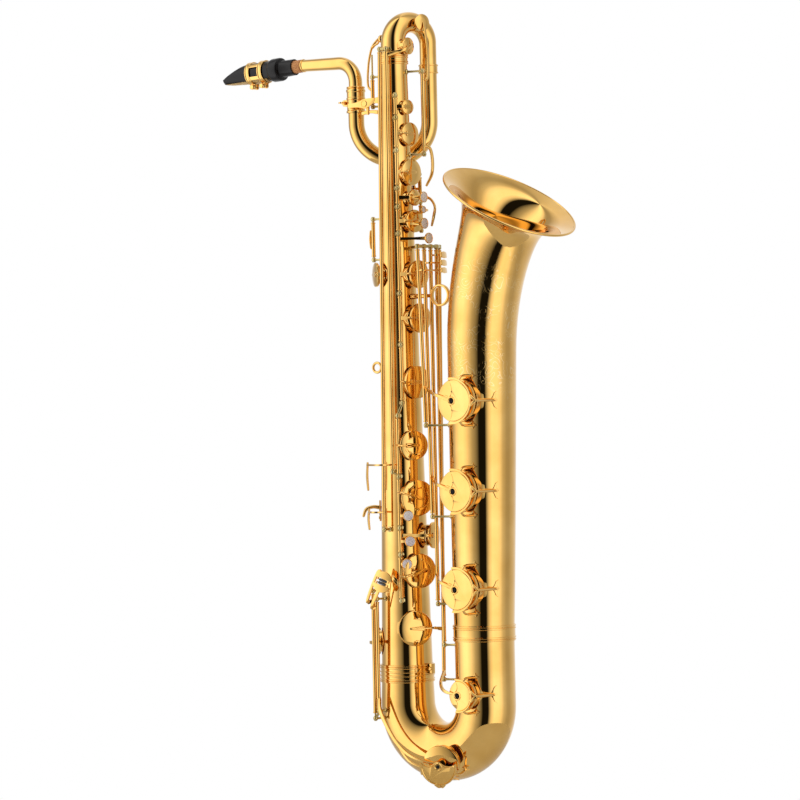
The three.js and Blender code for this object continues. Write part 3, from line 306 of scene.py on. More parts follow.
LEFT = V((0, 1, 0))
bow_route = Route(
    line_points(V((0, 0, BODY_BOTTOM_Z - GAP)), V((0, 0, BOW_ARC_Z)))
    + arc_points(V((BOW_SPAN / 2, 0, BOW_ARC_Z)), V((-1, 0, 0)), -UP, BOW_SPAN / 2, 180, 72)
    + line_points(V((BOW_SPAN, 0, BOW_ARC_Z)), V((BOW_SPAN, 0, BELL_BOTTOM_Z - SOCKET_LEDGE)))
)
bow = tube(bow_route, lambda t: BODY_BOTTOM_R + (BOW_END_R - BODY_BOTTOM_R) * (1 - (1 - t) ** 3), LEFT, 72)

bell_start = V((BOW_SPAN, 0, BELL_BOTTOM_Z))
bell_up = (BELL_BEND - bell_start).normalized()
bell_aside = square_to(polar(-10, 1, 0), bell_up)
bell_route = Route(
    line_points(bell_start, BELL_BEND)
    + arc_points(BELL_BEND + bell_aside * BELL_BEND_R, -bell_aside, bell_up, BELL_BEND_R, BELL_LEAN, 60)
)
BELL_LENGTH = bell_route.length


def bell_radius(from_rim):
    cone = 43.5 - 5.5 * (from_rim / BELL_LENGTH) ** 2.2
    return cone + 12 * math.exp(-from_rim / 60) + (RIM_R - 55.5) * math.exp(-from_rim / 10)


def bell_profile():
    steps = [0, 0.6, 1.4, 2.4, 3.6, 5, 6.6, 8.5, 11, 14, 17.5, 22, 27, 33, 40, 48, 58, 70, 84, 100]
    while steps[-1] < BELL_LENGTH - 18:
        steps.append(steps[-1] + 16)
    steps.append(BELL_LENGTH)
    outer = [(bell_radius(s), BELL_LENGTH - s) for s in steps]
    inner = []
    for s in steps:
        slope = (bell_radius(s + 0.1) - bell_radius(s)) / 0.1
        unit = BELL_SHEET / math.hypot(1, slope)
        inner.append((bell_radius(s) - unit, max(BELL_LENGTH - s - slope * unit, 0)))
    return outer[::-1] + inner[:-1] + [(outer[-1][0] - BELL_SHEET, 0), outer[-1]]


BEAD_R = 1.55
bell_skin = bent(turned(bell_profile(), steps=128), bell_route, LEFT)
rim_centre, rim_way = bell_route.find(BELL_LENGTH)
bead = turned([
    (RIM_R + 0.05 + BEAD_R * math.cos(a), -0.2 + BEAD_R * math.sin(a))
    for a in [math.tau * i / 14 for i in range(15)]
], rim_centre, rim_way, 128)


def bell_axis(z):
    return bell_start + bell_up * ((z - BELL_BOTTOM_Z) / bell_up.z)


def bell_hole(z, radius):
    return Hole(bell_axis(z), FRONT, bell_radius(BELL_LENGTH - (z - BELL_BOTTOM_Z)), radius, 6, 5)


bell_holes = {"low_b_flat": bell_hole(-44.7, 28), "low_b": bell_hole(-157.2, 27.5),
    "low_a": bell_hole(-279.3, 27.5)}
bow_holes = {
    "low_c_sharp": Hole((BOW_SPAN, 0, -411), FRONT, 37.4, 20, 5, 5),
    "low_c": Hole((BOW_SPAN / 2 + 12, 0, -488), (0.22, -0.93, -0.2), 36.8, 23.5, 5, 5),
}


def banded_sleeve(centre, along, inner_r, height, bands, thick=1.0, steps=64):
    """A sleeve with raised half-round bands: `bands` are their heights from the sleeve's middle."""
    low = -height / 2
    profile = [(inner_r, low), (inner_r + thick, low)]
    for band in sorted(bands):
        profile += [
            (inner_r + thick, band - 1.1), (inner_r + thick + 0.75, band - 0.7),
            (inner_r + thick + 0.95, band), (inner_r + thick + 0.75, band + 0.7),
            (inner_r + thick, band + 1.1),
        ]
    profile += [(inner_r + thick, -low), (inner_r, -low), (inner_r, low)]
    return turned(profile, centre, along, steps)


bell_socket = banded_sleeve(bell_start, UP, BOW_END_R + 0.1, 21, [-8.6, -5.6, 5.6, 8.6], 1.2, 80)
bow_chimneys = [chimney(hole) for hole in bow_holes.values()]
brass_on_horn(joined(bow, bell_socket, bow_chimneys), "bow_shell", "bottom_bow")


def engraved_brass():
    """The bell's brass with a band of fine hand-cut scrolls, each line about half a millimetre wide."""
    material = brass.copy()
    material.name = "hand_engraved_brass"
    tree = material.node_tree
    shader = tree.nodes["Principled BSDF"]
    place = node(tree, "ShaderNodeTexCoord").outputs["Object"]
    sway = node(tree, "ShaderNodeTexNoise", [("Vector", place)], in_Scale=34.0, in_Detail=1.0)
    bends = node(tree, "ShaderNodeVectorMath", [(0, sway.outputs["Color"])], operation="SCALE",
        in_Scale=0.034)
    moved = node(tree, "ShaderNodeVectorMath", [(0, place), (1, bends.outputs[0])], operation="ADD")
    cells = node(tree, "ShaderNodeTexVoronoi", [("Vector", moved.outputs[0])], in_Scale=88.0)
    rings = node(tree, "ShaderNodeMath", [(0, cells.outputs["Distance"])], operation="MULTIPLY", in_1=19.0)
    wave = node(tree, "ShaderNodeMath", [(0, rings.outputs[0])], operation="SINE")
    line = node(tree, "ShaderNodeMapRange", [("Value", wave.outputs[0])], in_From_Min=0.8, in_From_Max=1.0,
        in_To_Max=0.55)
    split = node(tree, "ShaderNodeSeparateXYZ", [("Vector", place)])
    low = node(tree, "ShaderNodeMapRange", [("Value", split.outputs["Z"])], in_From_Min=-0.06,
        in_From_Max=-0.02)
    high = node(tree, "ShaderNodeMapRange", [("Value", split.outputs["Z"])], in_From_Min=0.15,
        in_From_Max=0.11)
    gaps = node(tree, "ShaderNodeMapRange", [("Value", sway.outputs["Fac"])], in_From_Min=0.44,
        in_From_Max=0.52)
    band = node(tree, "ShaderNodeMath", [(0, low.outputs[0]), (1, high.outputs[0])], operation="MULTIPLY")
    field = node(tree, "ShaderNodeMath", [(0, band.outputs[0]), (1, gaps.outputs[0])], operation="MULTIPLY")
    cut = node(tree, "ShaderNodeMath", [(0, line.outputs[0]), (1, field.outputs[0])], operation="MULTIPLY")
    plain_colour = shader.inputs["Base Color"].links[0].from_socket
    paint = node(tree, "ShaderNodeMix", data_type="RGBA")
    tree.links.new(cut.outputs[0], paint.inputs["Factor"])
    tree.links.new(plain_colour, paint.inputs[6])
    paint.inputs[7].default_value = linear("#FBE0AE")
    tree.links.new(paint.outputs[2], shader.inputs["Base Color"])
    bump = shader.inputs["Normal"].links[0].from_node
    graved = node(tree, "ShaderNodeBump", [("Height", cut.outputs[0]), ("Normal", bump.outputs[0])],
                  in_Strength=0.4, in_Distance=0.00015, invert=True)
    tree.links.new(graved.outputs["Normal"], shader.inputs["Normal"])
    return material


fit(joined(bell_skin, bead), "bell_shell", "horn", engraved_brass(), "lacquered_brass", "bell", smooth=50)
brass_on_horn(joined([chimney(hole) for hole in bell_holes.values()]), "bell_chimneys")

# ---------------------------------------------------------------- upper loop and top bow
# Past the neck the tube runs down, loops under and climbs beside the body, then a small bow turns
# it over into the body's top. Each bend is drawn tube, joined by sleeves with beaded edges.

LEG = V((18.95, 49.6, 0))
NECK_LEG = V((-61.2, 0, 0))
LOOP_ARC_Z = 315
NECK_SOCKET_Z = 328
LEG_TOP_Z = 382
TOP_ARC_Z = 414.6
LOOP_R = 10.8
loop_across = (LEG - NECK_LEG).normalized()
loop_arc_r = (LEG - NECK_LEG).length / 2
loop_route = Route(
    line_points(NECK_LEG + UP * NECK_SOCKET_Z, NECK_LEG + UP * LOOP_ARC_Z)
    + arc_points((LEG + NECK_LEG) / 2 + UP * LOOP_ARC_Z, -loop_across, -UP, loop_arc_r, 180, 60)
    + line_points(LEG + UP * LOOP_ARC_Z, LEG + UP * LEG_TOP_Z)
)
loop_tube = tube(loop_route, lambda t: 10.2 + (LOOP_R - 10.2) * t, loop_across.cross(UP), 48, 4)
brass_on_horn(loop_tube, "loop_tube", "upper_loop_tube")

top_across = LEG.normalized()
top_arc_r = LEG.length / 2
top_route = Route(
    line_points(V((0, 0, BODY_TOP_Z + GAP)), V((0, 0, TOP_ARC_Z)))
    + arc_points(top_across * top_arc_r + UP * TOP_ARC_Z, -top_across, UP, top_arc_r, 180, 48)
    + line_points(LEG + UP * TOP_ARC_Z, LEG + UP * (LEG_TOP_Z + GAP))
)
top_holes = {
    "high_e": Hole((0, 0, 408), (1, 0, 0), 16.4, 11), "high_f_sharp": Hole(top_across * (top_arc_r * 1.15)
    + UP * (TOP_ARC_Z + top_arc_r - 2), (0.95, -0.31, 0), 13, 11),
    "octave": Hole((0.5, 1.3, 421), (-1, 0.1, 0), 15.8, 5, 0, 3),
}
top_tube = tube(
    top_route, lambda t: BODY_TOP_R + (LOOP_R - BODY_TOP_R) * min(t * 1.3, 1), top_across.cross(UP), 56, 3,
)
top_sleeves = [
    banded_sleeve(V((0, 0, BODY_TOP_Z)), UP, BODY_TOP_R + 0.1, 13, [-5, -2.6, 2.6, 5]),
    banded_sleeve(LEG + UP * LEG_TOP_Z, UP, LOOP_R + 0.1, 12, [-4.6, 4.6]),
]
top_chimneys = [chimney(hole) for hole in top_holes.values()]
brass_on_horn(joined(top_tube, top_sleeves, top_chimneys), "top_bow_shell", "top_bow")

# ---------------------------------------------------------------- collars, receiver and braces
# The bow is clamped to the body by a split collar with a screw block. The neck receiver is a
# turned brass sleeve, slit and closed by a thumbscrew, and soldered braces hold the tubes apart.


def rod(a, b, r, end_r=None, edge=0.3, steps=20):
    """A turned rod from a to b with softened ends."""
    end_r = r if end_r is None else end_r
    length = (b - a).length
    edge = min(edge, r * 0.6, length * 0.3)
    profile = [(0, 0), (r - edge, 0), (r, edge), (end_r, length - edge), (end_r - edge, length),
        (0, length)]
    return turned(profile, a, b - a, steps)


def smooth_line(points, between):
    """The points with more added between them on one smooth curve."""
    if len(points) < 3:
        return [points[0].lerp(points[-1], i / between) for i in range(between + 1)]
    ends = [points[0] * 2 - points[1]] + list(points) + [points[-1] * 2 - points[-2]]
    line = []
    for p0, p1, p2, p3 in zip(ends, ends[1:], ends[2:], ends[3:]):
        for i in range(between):
            t = i / between
            line.append(0.5 * (p1 * 2 + (p2 - p0) * t + (p0 * 2 - p1 * 5 + p2 * 4 - p3) * t * t
                               + (p1 * 3 - p0 - p2 * 3 + p3) * t ** 3))
    return line + [points[-1]]


def squared(value, power):
    return math.copysign(abs(value) ** power, value)


def drawn(points, widths, thicks, face=None, sides=12, square=4, between=6):
    """A forged or drawn bar along a smooth line: its section is a rounded rectangle, or round at
    square 2, its width and thickness change evenly along it, and its ends are softened."""
    line = smooth_line([V(p) for p in points], between)
    count = len(line)

    def along(values, i):
        if not isinstance(values, (list, tuple)):
            return values
        place = i / (count - 1) * (len(values) - 1)
        low = min(int(place), len(values) - 2)
        return values[low] + (values[low + 1] - values[low]) * (place - low)

    verts, faces, up = [], [], face
    for i, point in enumerate(line):
        way = (line[min(i + 1, count - 1)] - line[max(i - 1, 0)]).normalized()
        if up is None or abs(way.dot(V(up).normalized())) > 0.98:
            up = way.orthogonal()
        lift = square_to(V(up), way)
        side = way.cross(lift)
        w, t = along(widths, i) / 2, along(thicks, i) / 2
        if face is None:
            up = lift
        ends = {0: [(-0.5, 0.6), (0, 0.94)], count - 1: [(0, 0.94), (0.5, 0.6)]}.get(i, [(0, 1)])
        for shift, size in ends:
            for k in range(sides):
                a = math.tau * (k + 0.5) / sides
                x = squared(math.cos(a), 2 / square)
                y = squared(math.sin(a), 2 / square)
                verts.append(point + way * (shift * min(w, t)) + side * (x * w * size) + lift
                    * (y * t * size))
    rings = len(verts) // sides
    for r in range(rings - 1):
        for k in range(sides):
            a, b = r * sides + k, r * sides + (k + 1) % sides
            faces.append((a, b, b + sides, a + sides))
    faces.append(tuple(range(sides))[::-1])
    faces.append(tuple(range((rings - 1) * sides, rings * sides)))
    obj = made_of("drawn", verts, faces)
    face_outwards(obj)
    return obj


def ease_edges(obj, width, segments, degrees):
    """Bevels every edge sharper than the given angle."""
    pick(obj)
    bevel = obj.modifiers.new("eased", "BEVEL")
    bevel.width = width
    bevel.segments = segments
    bevel.limit_method = "ANGLE"
    bevel.angle_limit = math.radians(degrees)
    bpy.ops.object.modifier_apply(modifier="eased")


def cut_plate(outline, thick, centre, normal, side, edge=0.35, groove=None):
    """A plate sawn to an outline in its own plane, its edges eased. With `groove`, the place on its
    x axis that the outline is drawn in towards, one engraved line runs round its face."""
    z = V(normal).normalized()
    y = z.cross(V(side)).normalized()
    x = y.cross(z)
    loops = [(1, 0), (1, thick)]
    if groove is not None:
        loops += [(0.91, thick), (0.88, thick - 0.7), (0.85, thick)]
    middle = groove or 0
    points = [(middle + (px - middle) * scale, py * scale, up) for scale, up in loops for px, py in outline]
    count = len(outline)
    faces = [tuple(reversed(range(count))), tuple(range(len(points) - count, len(points)))]
    for first in range(0, len(points) - count, count):
        faces += [(first + i, first + (i + 1) % count, first + count + (i + 1) % count, first + count + i)
                  for i in range(count)]
    obj = made_of("plate", points, faces)
    face_outwards(obj)
    ease_edges(obj, edge, 2, 60)
    place = Matrix((x, y, z)).transposed().to_4x4()
    obj.data.transform(Matrix.Translation(centre) @ place)
    return obj


def screw(head, way, r=2.6, tall=1.6):
    """A slotted screw head: the slot is a groove across its crowned top."""
    top = turned([(0, 0), (r, 0), (r, tall * 0.6), (r * 0.8, tall), (0, tall * 1.1)], head, way, 24)
    slot_way = V(way).orthogonal().normalized()
    middle = V(head) + V(way).normalized() * tall * 1.12
    return joined(top, drawn([middle - slot_way * r * 0.8, middle + slot_way * r * 0.8], 0.5, 0.12, way, 8))


collar = banded_sleeve(V((0, 0, BODY_BOTTOM_Z)), UP, BODY_BOTTOM_R + 0.15, 23,
    [-10, -7.4, -2.4, 2.4, 7.4, 10], 1.3, 96)
block = cut_plate([(-3.6, -6.5), (3.6, -6.5), (3.6, 6.5), (-3.6, 6.5)], 7, V((34, 0, BODY_BOTTOM_Z + 6)),
    (1, 0, 0), LEFT, 0.8)
clamp_screw = screw(V((38, -3.6, BODY_BOTTOM_Z + 6)), FRONT, 2.6)
brass_on_horn(joined(collar, block, clamp_screw), "body_bow_clamp", "body_bow_collar")

EAR_Z = 342
RECEIVER_TOP_Z = 359


def neck_axis(z):
    return NECK_LEG + UP * z


receiver = turned([
    (10.4, 0), (12.2, 0), (12.6, 0.8), (12.6, 2.4), (11.9, 3.2), (11.7, 4), (11.7, 16.5), (12.3, 17.2),
    (12.4, 18.5), (12.3, 19.6), (11.7, 20.3), (11.7, 26.4), (12.2, 27), (12.6, 27.8), (12.6, 29.6),
    (12.1, 30.4), (10.4, 30.5), (10.4, 0),
], neck_axis(NECK_SOCKET_Z + GAP), UP, 56)
ears = [drawn([neck_axis(EAR_Z) + V((-10.8, s * 2.2, 0)), neck_axis(EAR_Z) + V((-18.2, s * 2.2, 0))], 8.6,
    2.3, LEFT, 16) for s in (-1, 1)]
brass_on_horn(joined(receiver, ears), "neck_receiver_sleeve", "neck_receiver")

screw_at = neck_axis(EAR_Z) + V((-15.5, 0, 0))
wing = cut_plate(
    [(4.5 * math.cos(a), 3.6 * math.sin(a)) for a in [math.tau * i / 28 for i in range(28)]],
    2, screw_at + V((0, -10.7, -1)), UP, FRONT, 0.5,
)
wing_collar = rod(screw_at + V((0, -7.5, 0)), screw_at + V((0, -4.4, 0)), 2.7)
wing_shaft = rod(screw_at + V((0, -7, 0)), screw_at + V((0, 6, 0)), 1.45)
fit(joined(wing, wing_collar, wing_shaft), "receiver_thumbscrew", "neck_clamp_screw", brass,
    "lacquered_brass", "neck_clamp_screw")

BRACE_Y = -13.3
brace_at = V((-37.5, BRACE_Y, 338))


def curve_points(start, *pieces):
    """An outline of quadratic curves: each piece is a control point and an end point, or an end alone."""
    points, here = [start], start
    for piece in pieces:
        bend_x, bend_y = piece[0] if len(piece) == 2 else ((here[0] + piece[0][0]) / 2,
            (here[1] + piece[0][1]) / 2)
        end = piece[-1]
        for i in range(1, 9):
            t = i / 8
            points.append(tuple((1 - t) ** 2 * h + 2 * t * (1 - t) * c + t * t * e
                                for h, c, e in zip(here, (bend_x, bend_y), end)))
        here = end
    return points


brace_plate = cut_plate(curve_points(
    (-26, -4), ((-8, -3), (0, -6.5)), ((10, -5), (17, 2.5)), ((17, 6),), ((4, 7.5), (-4, 5)),
    ((-14, 1), (-26, 2)),
), 1.8, brace_at, FRONT, (1, 0, 0), 0.4)
disc = turned([(0, 0), (4.6, 0), (4.6, 2.4), (4.2, 2.8), (3.6, 2.8), (3.4, 2.4), (0, 2.4)], brace_at,
    FRONT, 40)
brace_foot = drawn([V((-26, BRACE_Y - 0.4, 341)), V((-14, BRACE_Y - 0.4, 341))], [5, 9], 2, FRONT, 16)
brace_link = drawn([V((-44, BRACE_Y + 3, 326)), V((-31, BRACE_Y + 3, 327.5)),
    V((-17.5, BRACE_Y + 3, 326))], [5, 4, 5.5], 3.6, FRONT, 16)
brace_drop = drawn([V((-34, BRACE_Y + 1.6, 337)), V((-34, BRACE_Y + 1.6, 324.5))], 4.6, 3.4, FRONT, 12)
brass_on_horn(joined(brace_plate, disc, brace_foot, brace_link, brace_drop), "neck_brace",
    "neck_brace_plate")

BRACE_RING = V((68, -4.7, 89))
brace_ring = turned([
    (12.75 + 1.5 * squared(math.cos(a), 0.6), 3 * squared(math.sin(a), 0.6))
    for a in [math.tau * i / 16 for i in range(17)]
], BRACE_RING, FRONT, 56)
ring_edge = V((12.4, 0, 0))
on_body = V((body_radius(BRACE_RING.z) + GAP, BRACE_RING.y, BRACE_RING.z))
on_bell = V((BOW_SPAN + 7 - 43.8 - GAP, BRACE_RING.y, BRACE_RING.z))
ring_arms = [rod(on_body, BRACE_RING - ring_edge, 3.6, 2.1), rod(BRACE_RING + ring_edge, on_bell, 2.4, 4)]
brass_on_horn(joined(brace_ring, ring_arms), "bell_ring_brace", "bell_brace_ring")

# ---------------------------------------------------------------- neck, cork and mouthpiece
# The neck is a short drawn tube with a turned tenon. Sheet cork is glued round its end, and the
# mouthpiece, turned from hard rubber, is pushed on; a brass ligature ties the cane reed to it.

NECK_BEND_R = 27
NECK_Z = 394.5
NOSE = V((-145.5, 0, NECK_Z + 1.5))
NOSE_WAY = V((-1, 0, -0.05)).normalized()
neck_route = Route(
    line_points(neck_axis(334), neck_axis(NECK_Z - NECK_BEND_R)) + arc_points(V((NECK_LEG.x - NECK_BEND_R,
    0, NECK_Z - NECK_BEND_R)), V((1, 0, 0)), UP, NECK_BEND_R, 90,
    40) + line_points(V((NECK_LEG.x - NECK_BEND_R, 0, NECK_Z)), NOSE)
)
neck_tube = tube(neck_route, lambda t: 9.1 - 1.3 * min(t * 1.1, 1), LEFT, 48, 3)
neck_ring = turned([
    (8.2, 0), (11.4, 0), (12, 0.6), (12, 1.2), (11.5, 1.5), (12, 1.8), (12, 2.5), (11.4, 3), (8.8, 3),
    (8.2, 2.5), (8.2, 0),
], neck_axis(RECEIVER_TOP_Z + GAP), UP, 48)
tenon = turned([(8.2, 0), (9.8, 0), (10, 0.5), (10, 24), (8.2, 24), (8.2, 0)], neck_axis(334), UP, 48)
nose_tube = turned([(5.6, 0), (6.6, 0), (6.6, 38), (5.6, 38), (5.6, 0)], NOSE, NOSE_WAY, 40)
nose_ring = turned([(6, -2.4), (8.3, -2.4), (8.6, -1.9), (8.6, -0.5), (8.3, 0), (6, 0), (6, -2.4)], NOSE,
    NOSE_WAY, 40)
fit(joined(neck_tube, neck_ring, tenon, nose_tube, nose_ring), "neck_tube", "neck", brass,
    "lacquered_brass", "neck")


def plain_finish(name, colour, second, rough, coat, scale, spread, strength):
    """A finish that isn't metal: two close colours in a grain of a given scale, slightly raised."""
    material = bpy.data.materials.new(name)
    material.use_nodes = True
    tree = material.node_tree
    shader = tree.nodes["Principled BSDF"]
    place = node(tree, "ShaderNodeTexCoord").outputs["Object"]
    grain = node(tree, "ShaderNodeTexNoise", [("Vector", place)], in_Scale=float(scale), in_Detail=6.0)
    colours = ramp(tree, grain.outputs["Fac"], [(spread[0], second), (spread[1], colour)])
    tree.links.new(colours, shader.inputs["Base Color"])
    bump = node(tree, "ShaderNodeBump", [("Height", grain.outputs["Fac"])], in_Strength=strength,
        in_Distance=0.0002)
    tree.links.new(bump.outputs["Normal"], shader.inputs["Normal"])
    shader.inputs["Roughness"].default_value = rough
    shader.inputs["Coat Weight"].default_value = coat
    shader.inputs["Coat Roughness"].default_value = 0.08
    return material


# Sheet cork, waxed: warm tan with dark pores about a millimetre across.
cork = plain_finish("waxed_sheet_cork", "#D8965A", "#9A5A30", 0.7, 0, 900, (0.36, 0.5), 0.4)
cork_at = NOSE + NOSE_WAY * 1.1
fit(turned([(6.9, 0), (8.1, 0), (8.4, 0.5), (8.4, 35.5), (8, 36), (6.9, 36), (6.9, 0)], cork_at, NOSE_WAY,
    48), "neck_cork_sheet", "neck", cork, "cork", "neck_cork")

SHANK = NOSE + NOSE_WAY * 13
nose_lift = (UP - NOSE_WAY * NOSE_WAY.z).normalized()


def on_mouthpiece(along, up, side=0):
    return SHANK + NOSE_WAY * along + nose_lift * up + V((0, side, 0))


def cut_away(obj, *boxes):
    """Saws boxes out of a solid: each is (from, to, width, height) about the line from one to the other."""
    for a, b, width, height in boxes:
        bpy.ops.mesh.primitive_cube_add(size=1)
        saw = bpy.context.active_object
        x = (b - a).normalized()
        z = square_to(nose_lift, x)
        turn = Matrix((x, z.cross(x), z)).transposed().to_4x4()
        saw.data.transform(Matrix.Translation((a + b) / 2) @ turn @ Matrix.Diagonal(((b - a).length, width,
            height, 1)))
        pick(obj)
        cut = obj.modifiers.new("sawn", "BOOLEAN")
        cut.operation = "DIFFERENCE"
        cut.object = saw
        cut.solver = "EXACT"
        bpy.ops.object.modifier_apply(modifier="sawn")
        bpy.data.objects.remove(saw)
    return obj


mouthpiece = turned([
    (0, 66), (8.8, 66), (8.8, 0), (10.2, 0), (10.6, 0.5), (11, 20), (11.4, 20.8), (14.3, 21.3), (14.9, 22),
    (15.3, 24), (15.3, 34), (15, 35.4), (14.1, 36.6), (13.7, 38), (13.55, 46), (13.2, 76), (11.9, 108),
    (11, 114), (9.8, 115), (0, 115),
], SHANK, NOSE_WAY, 72)
cut_away(mouthpiece,
         (on_mouthpiece(42, -15.6), on_mouthpiece(120, -15.6), 34, 12),
         (on_mouthpiece(78, 24.2), on_mouthpiece(124, 2.4), 34, 20))
ease_edges(mouthpiece, 0.7, 3, 40)
# Hard rubber, turned and polished: near-black brown with a soft shine and faint turning marks.
ebonite = plain_finish("polished_hard_rubber", "#0C0A0A", "#151111", 0.2, 0.0, 60, (0.3, 0.7), 0.03)
ebonite.node_tree.nodes["Principled BSDF"].inputs["Specular IOR Level"].default_value = 0.28
fit(mouthpiece, "mouthpiece_body", "mouthpiece", ebonite, "ebonite", "mouthpiece")

reed_low = -9.6 - GAP
reed = turned([(0, 43), (12.6, 43), (13.2, 43.8), (13.2, 114), (12.6, 115), (0, 115)], SHANK, NOSE_WAY, 64)
cut_away(reed,
         (on_mouthpiece(40, reed_low + 20), on_mouthpiece(120, reed_low + 20), 40, 40),
         (on_mouthpiece(40, 0, 18.3), on_mouthpiece(120, 0, 18.3), 20, 40),
         (on_mouthpiece(40, 0, -18.3), on_mouthpiece(120, 0, -18.3), 20, 40),
         (on_mouthpiece(76, reed_low - 5.9), on_mouthpiece(122, reed_low - 2.2), 40, 6))
# Cut cane: straw yellow with fine fibres running its length.
cane = plain_finish("cut_cane", "#DDBE80", "#B98F4E", 0.55, 0, 240, (0.35, 0.65), 0.15)
fit(reed, "cane_reed", "mouthpiece", cane, "cane", "reed")

LIG = 46
LIGATURE_SCREWS = (LIG + 6, LIG + 22)
LUG_DROP = 17.6
screw_up = -LUG_DROP - 0.6
bands = [turned([
    (14.1, a), (15, a), (15.3, a + 0.4), (15.3, a + 1.3), (15, a + 1.7), (14.8, a + 2.2), (14.8, b - 2.2),
    (15, b - 1.7), (15.3, b - 1.3), (15.3, b - 0.4), (15, b), (14.1, b), (14.1, a),
], SHANK, NOSE_WAY, 64) for a, b in ((LIG, LIG + 7.4), (LIG + 20.6, LIG + 28))]
for band in bands:
    cut_away(band, (on_mouthpiece(LIG - 1, -17), on_mouthpiece(LIG + 30, -17), 2.6, 10))
ties = [drawn([on_mouthpiece(along, z, s * y) for along in LIGATURE_SCREWS], 5.4, 0.9, V((0, s * y, z)), 12)
        for s in (-1, 1) for y, z in ((11.8, 8.6), (12.2, -7.8))]
lugs = [turned([(1.6, 0), (2.6, 0), (3.1, 0.4), (3.1, 2.6), (2.6, 3), (1.6, 3), (1.6, 0)],
               on_mouthpiece(along, screw_up, 1.5 if side > 0 else -4.5), LEFT, 24)
        for along in LIGATURE_SCREWS for side in (-1, 1)]
lug_webs = [drawn([on_mouthpiece(along + end, -15.2, side * 3) for end in (-3, 3)], 2.8, 3.4, nose_lift)
            for along in LIGATURE_SCREWS for side in (-1, 1)]
fit(joined(bands, ties, lugs, lug_webs), "ligature_bands", "mouthpiece", brass, "lacquered_brass",
    "ligature")
for number, along in enumerate(LIGATURE_SCREWS, 1):
    shaft = rod(on_mouthpiece(along, screw_up, -5.2), on_mouthpiece(along, screw_up, 6), 1.1)
    head = turned([(0, 0), (2.6, 0), (3.3, 0.5), (3.4, 1.1), (3.1, 1.6), (3.4, 2.1), (3.3, 2.8),
        (2.6, 3.5), (0, 3.6)], on_mouthpiece(along, screw_up, -8.6), LEFT, 24)
    fit(joined(shaft, head), f"ligature_knob_{number}", f"ligature_screw_{number}", brass,
        "lacquered_brass", f"ligature_screw_{number}")

# ---------------------------------------------------------------- key guards
# Each bell key is guarded by a half-moon plate sawn from sheet brass, engraved with one line near
# its edge, on three legs whose feet are soldered down. A threaded boss holds the bumper felt.

GUARD_LIFT = 19
GUARD_PLATE = 1.5
HALF_MOON = 1.75        # radians of arc each side of the main leg
SIDE_LEG = 1.15         # radians round to each side leg
FOOT_SPREAD = 1.2       # a side foot stands this much further out than its leg starts
FOOT_PLATE = 1.1
# The main leg ends in a fishtail, and each side leg in a small plate with four lobes.
FISHTAIL = [(-11, -4), (-9, -0.4), (-5.4, 1.2), (-2.6, 3), (2.6, 3), (5.4, 1.2), (9, -0.4), (11, -4),
            (8, -2.2), (4, -1.6), (2, -3.2), (0, -4.6), (-2, -3.2), (-4, -1.6), (-8, -2.2)]
four_lobes = []
for quarter in range(4):
    for share, size in ((0, 5.4), (0.16, 3.6), (0.34, 2.9), (0.5, 3.6), (0.66, 2.9), (0.84, 3.6)):
        a = math.pi / 2 * (quarter + share)
        four_lobes.append((size * math.cos(a), size * math.sin(a)))
felts = []


def ringed_boss(centre, way):
    return turned([(0, -2.2), (4.2, -2.2), (4.6, -1.6), (4.6, 0.6), (5.4, 1), (5.5, 1.8), (5, 2.5),
        (4.2, 2.6), (3.6, 2.2), (3.2, 1.5), (0, 1.5)], centre, way, 36)


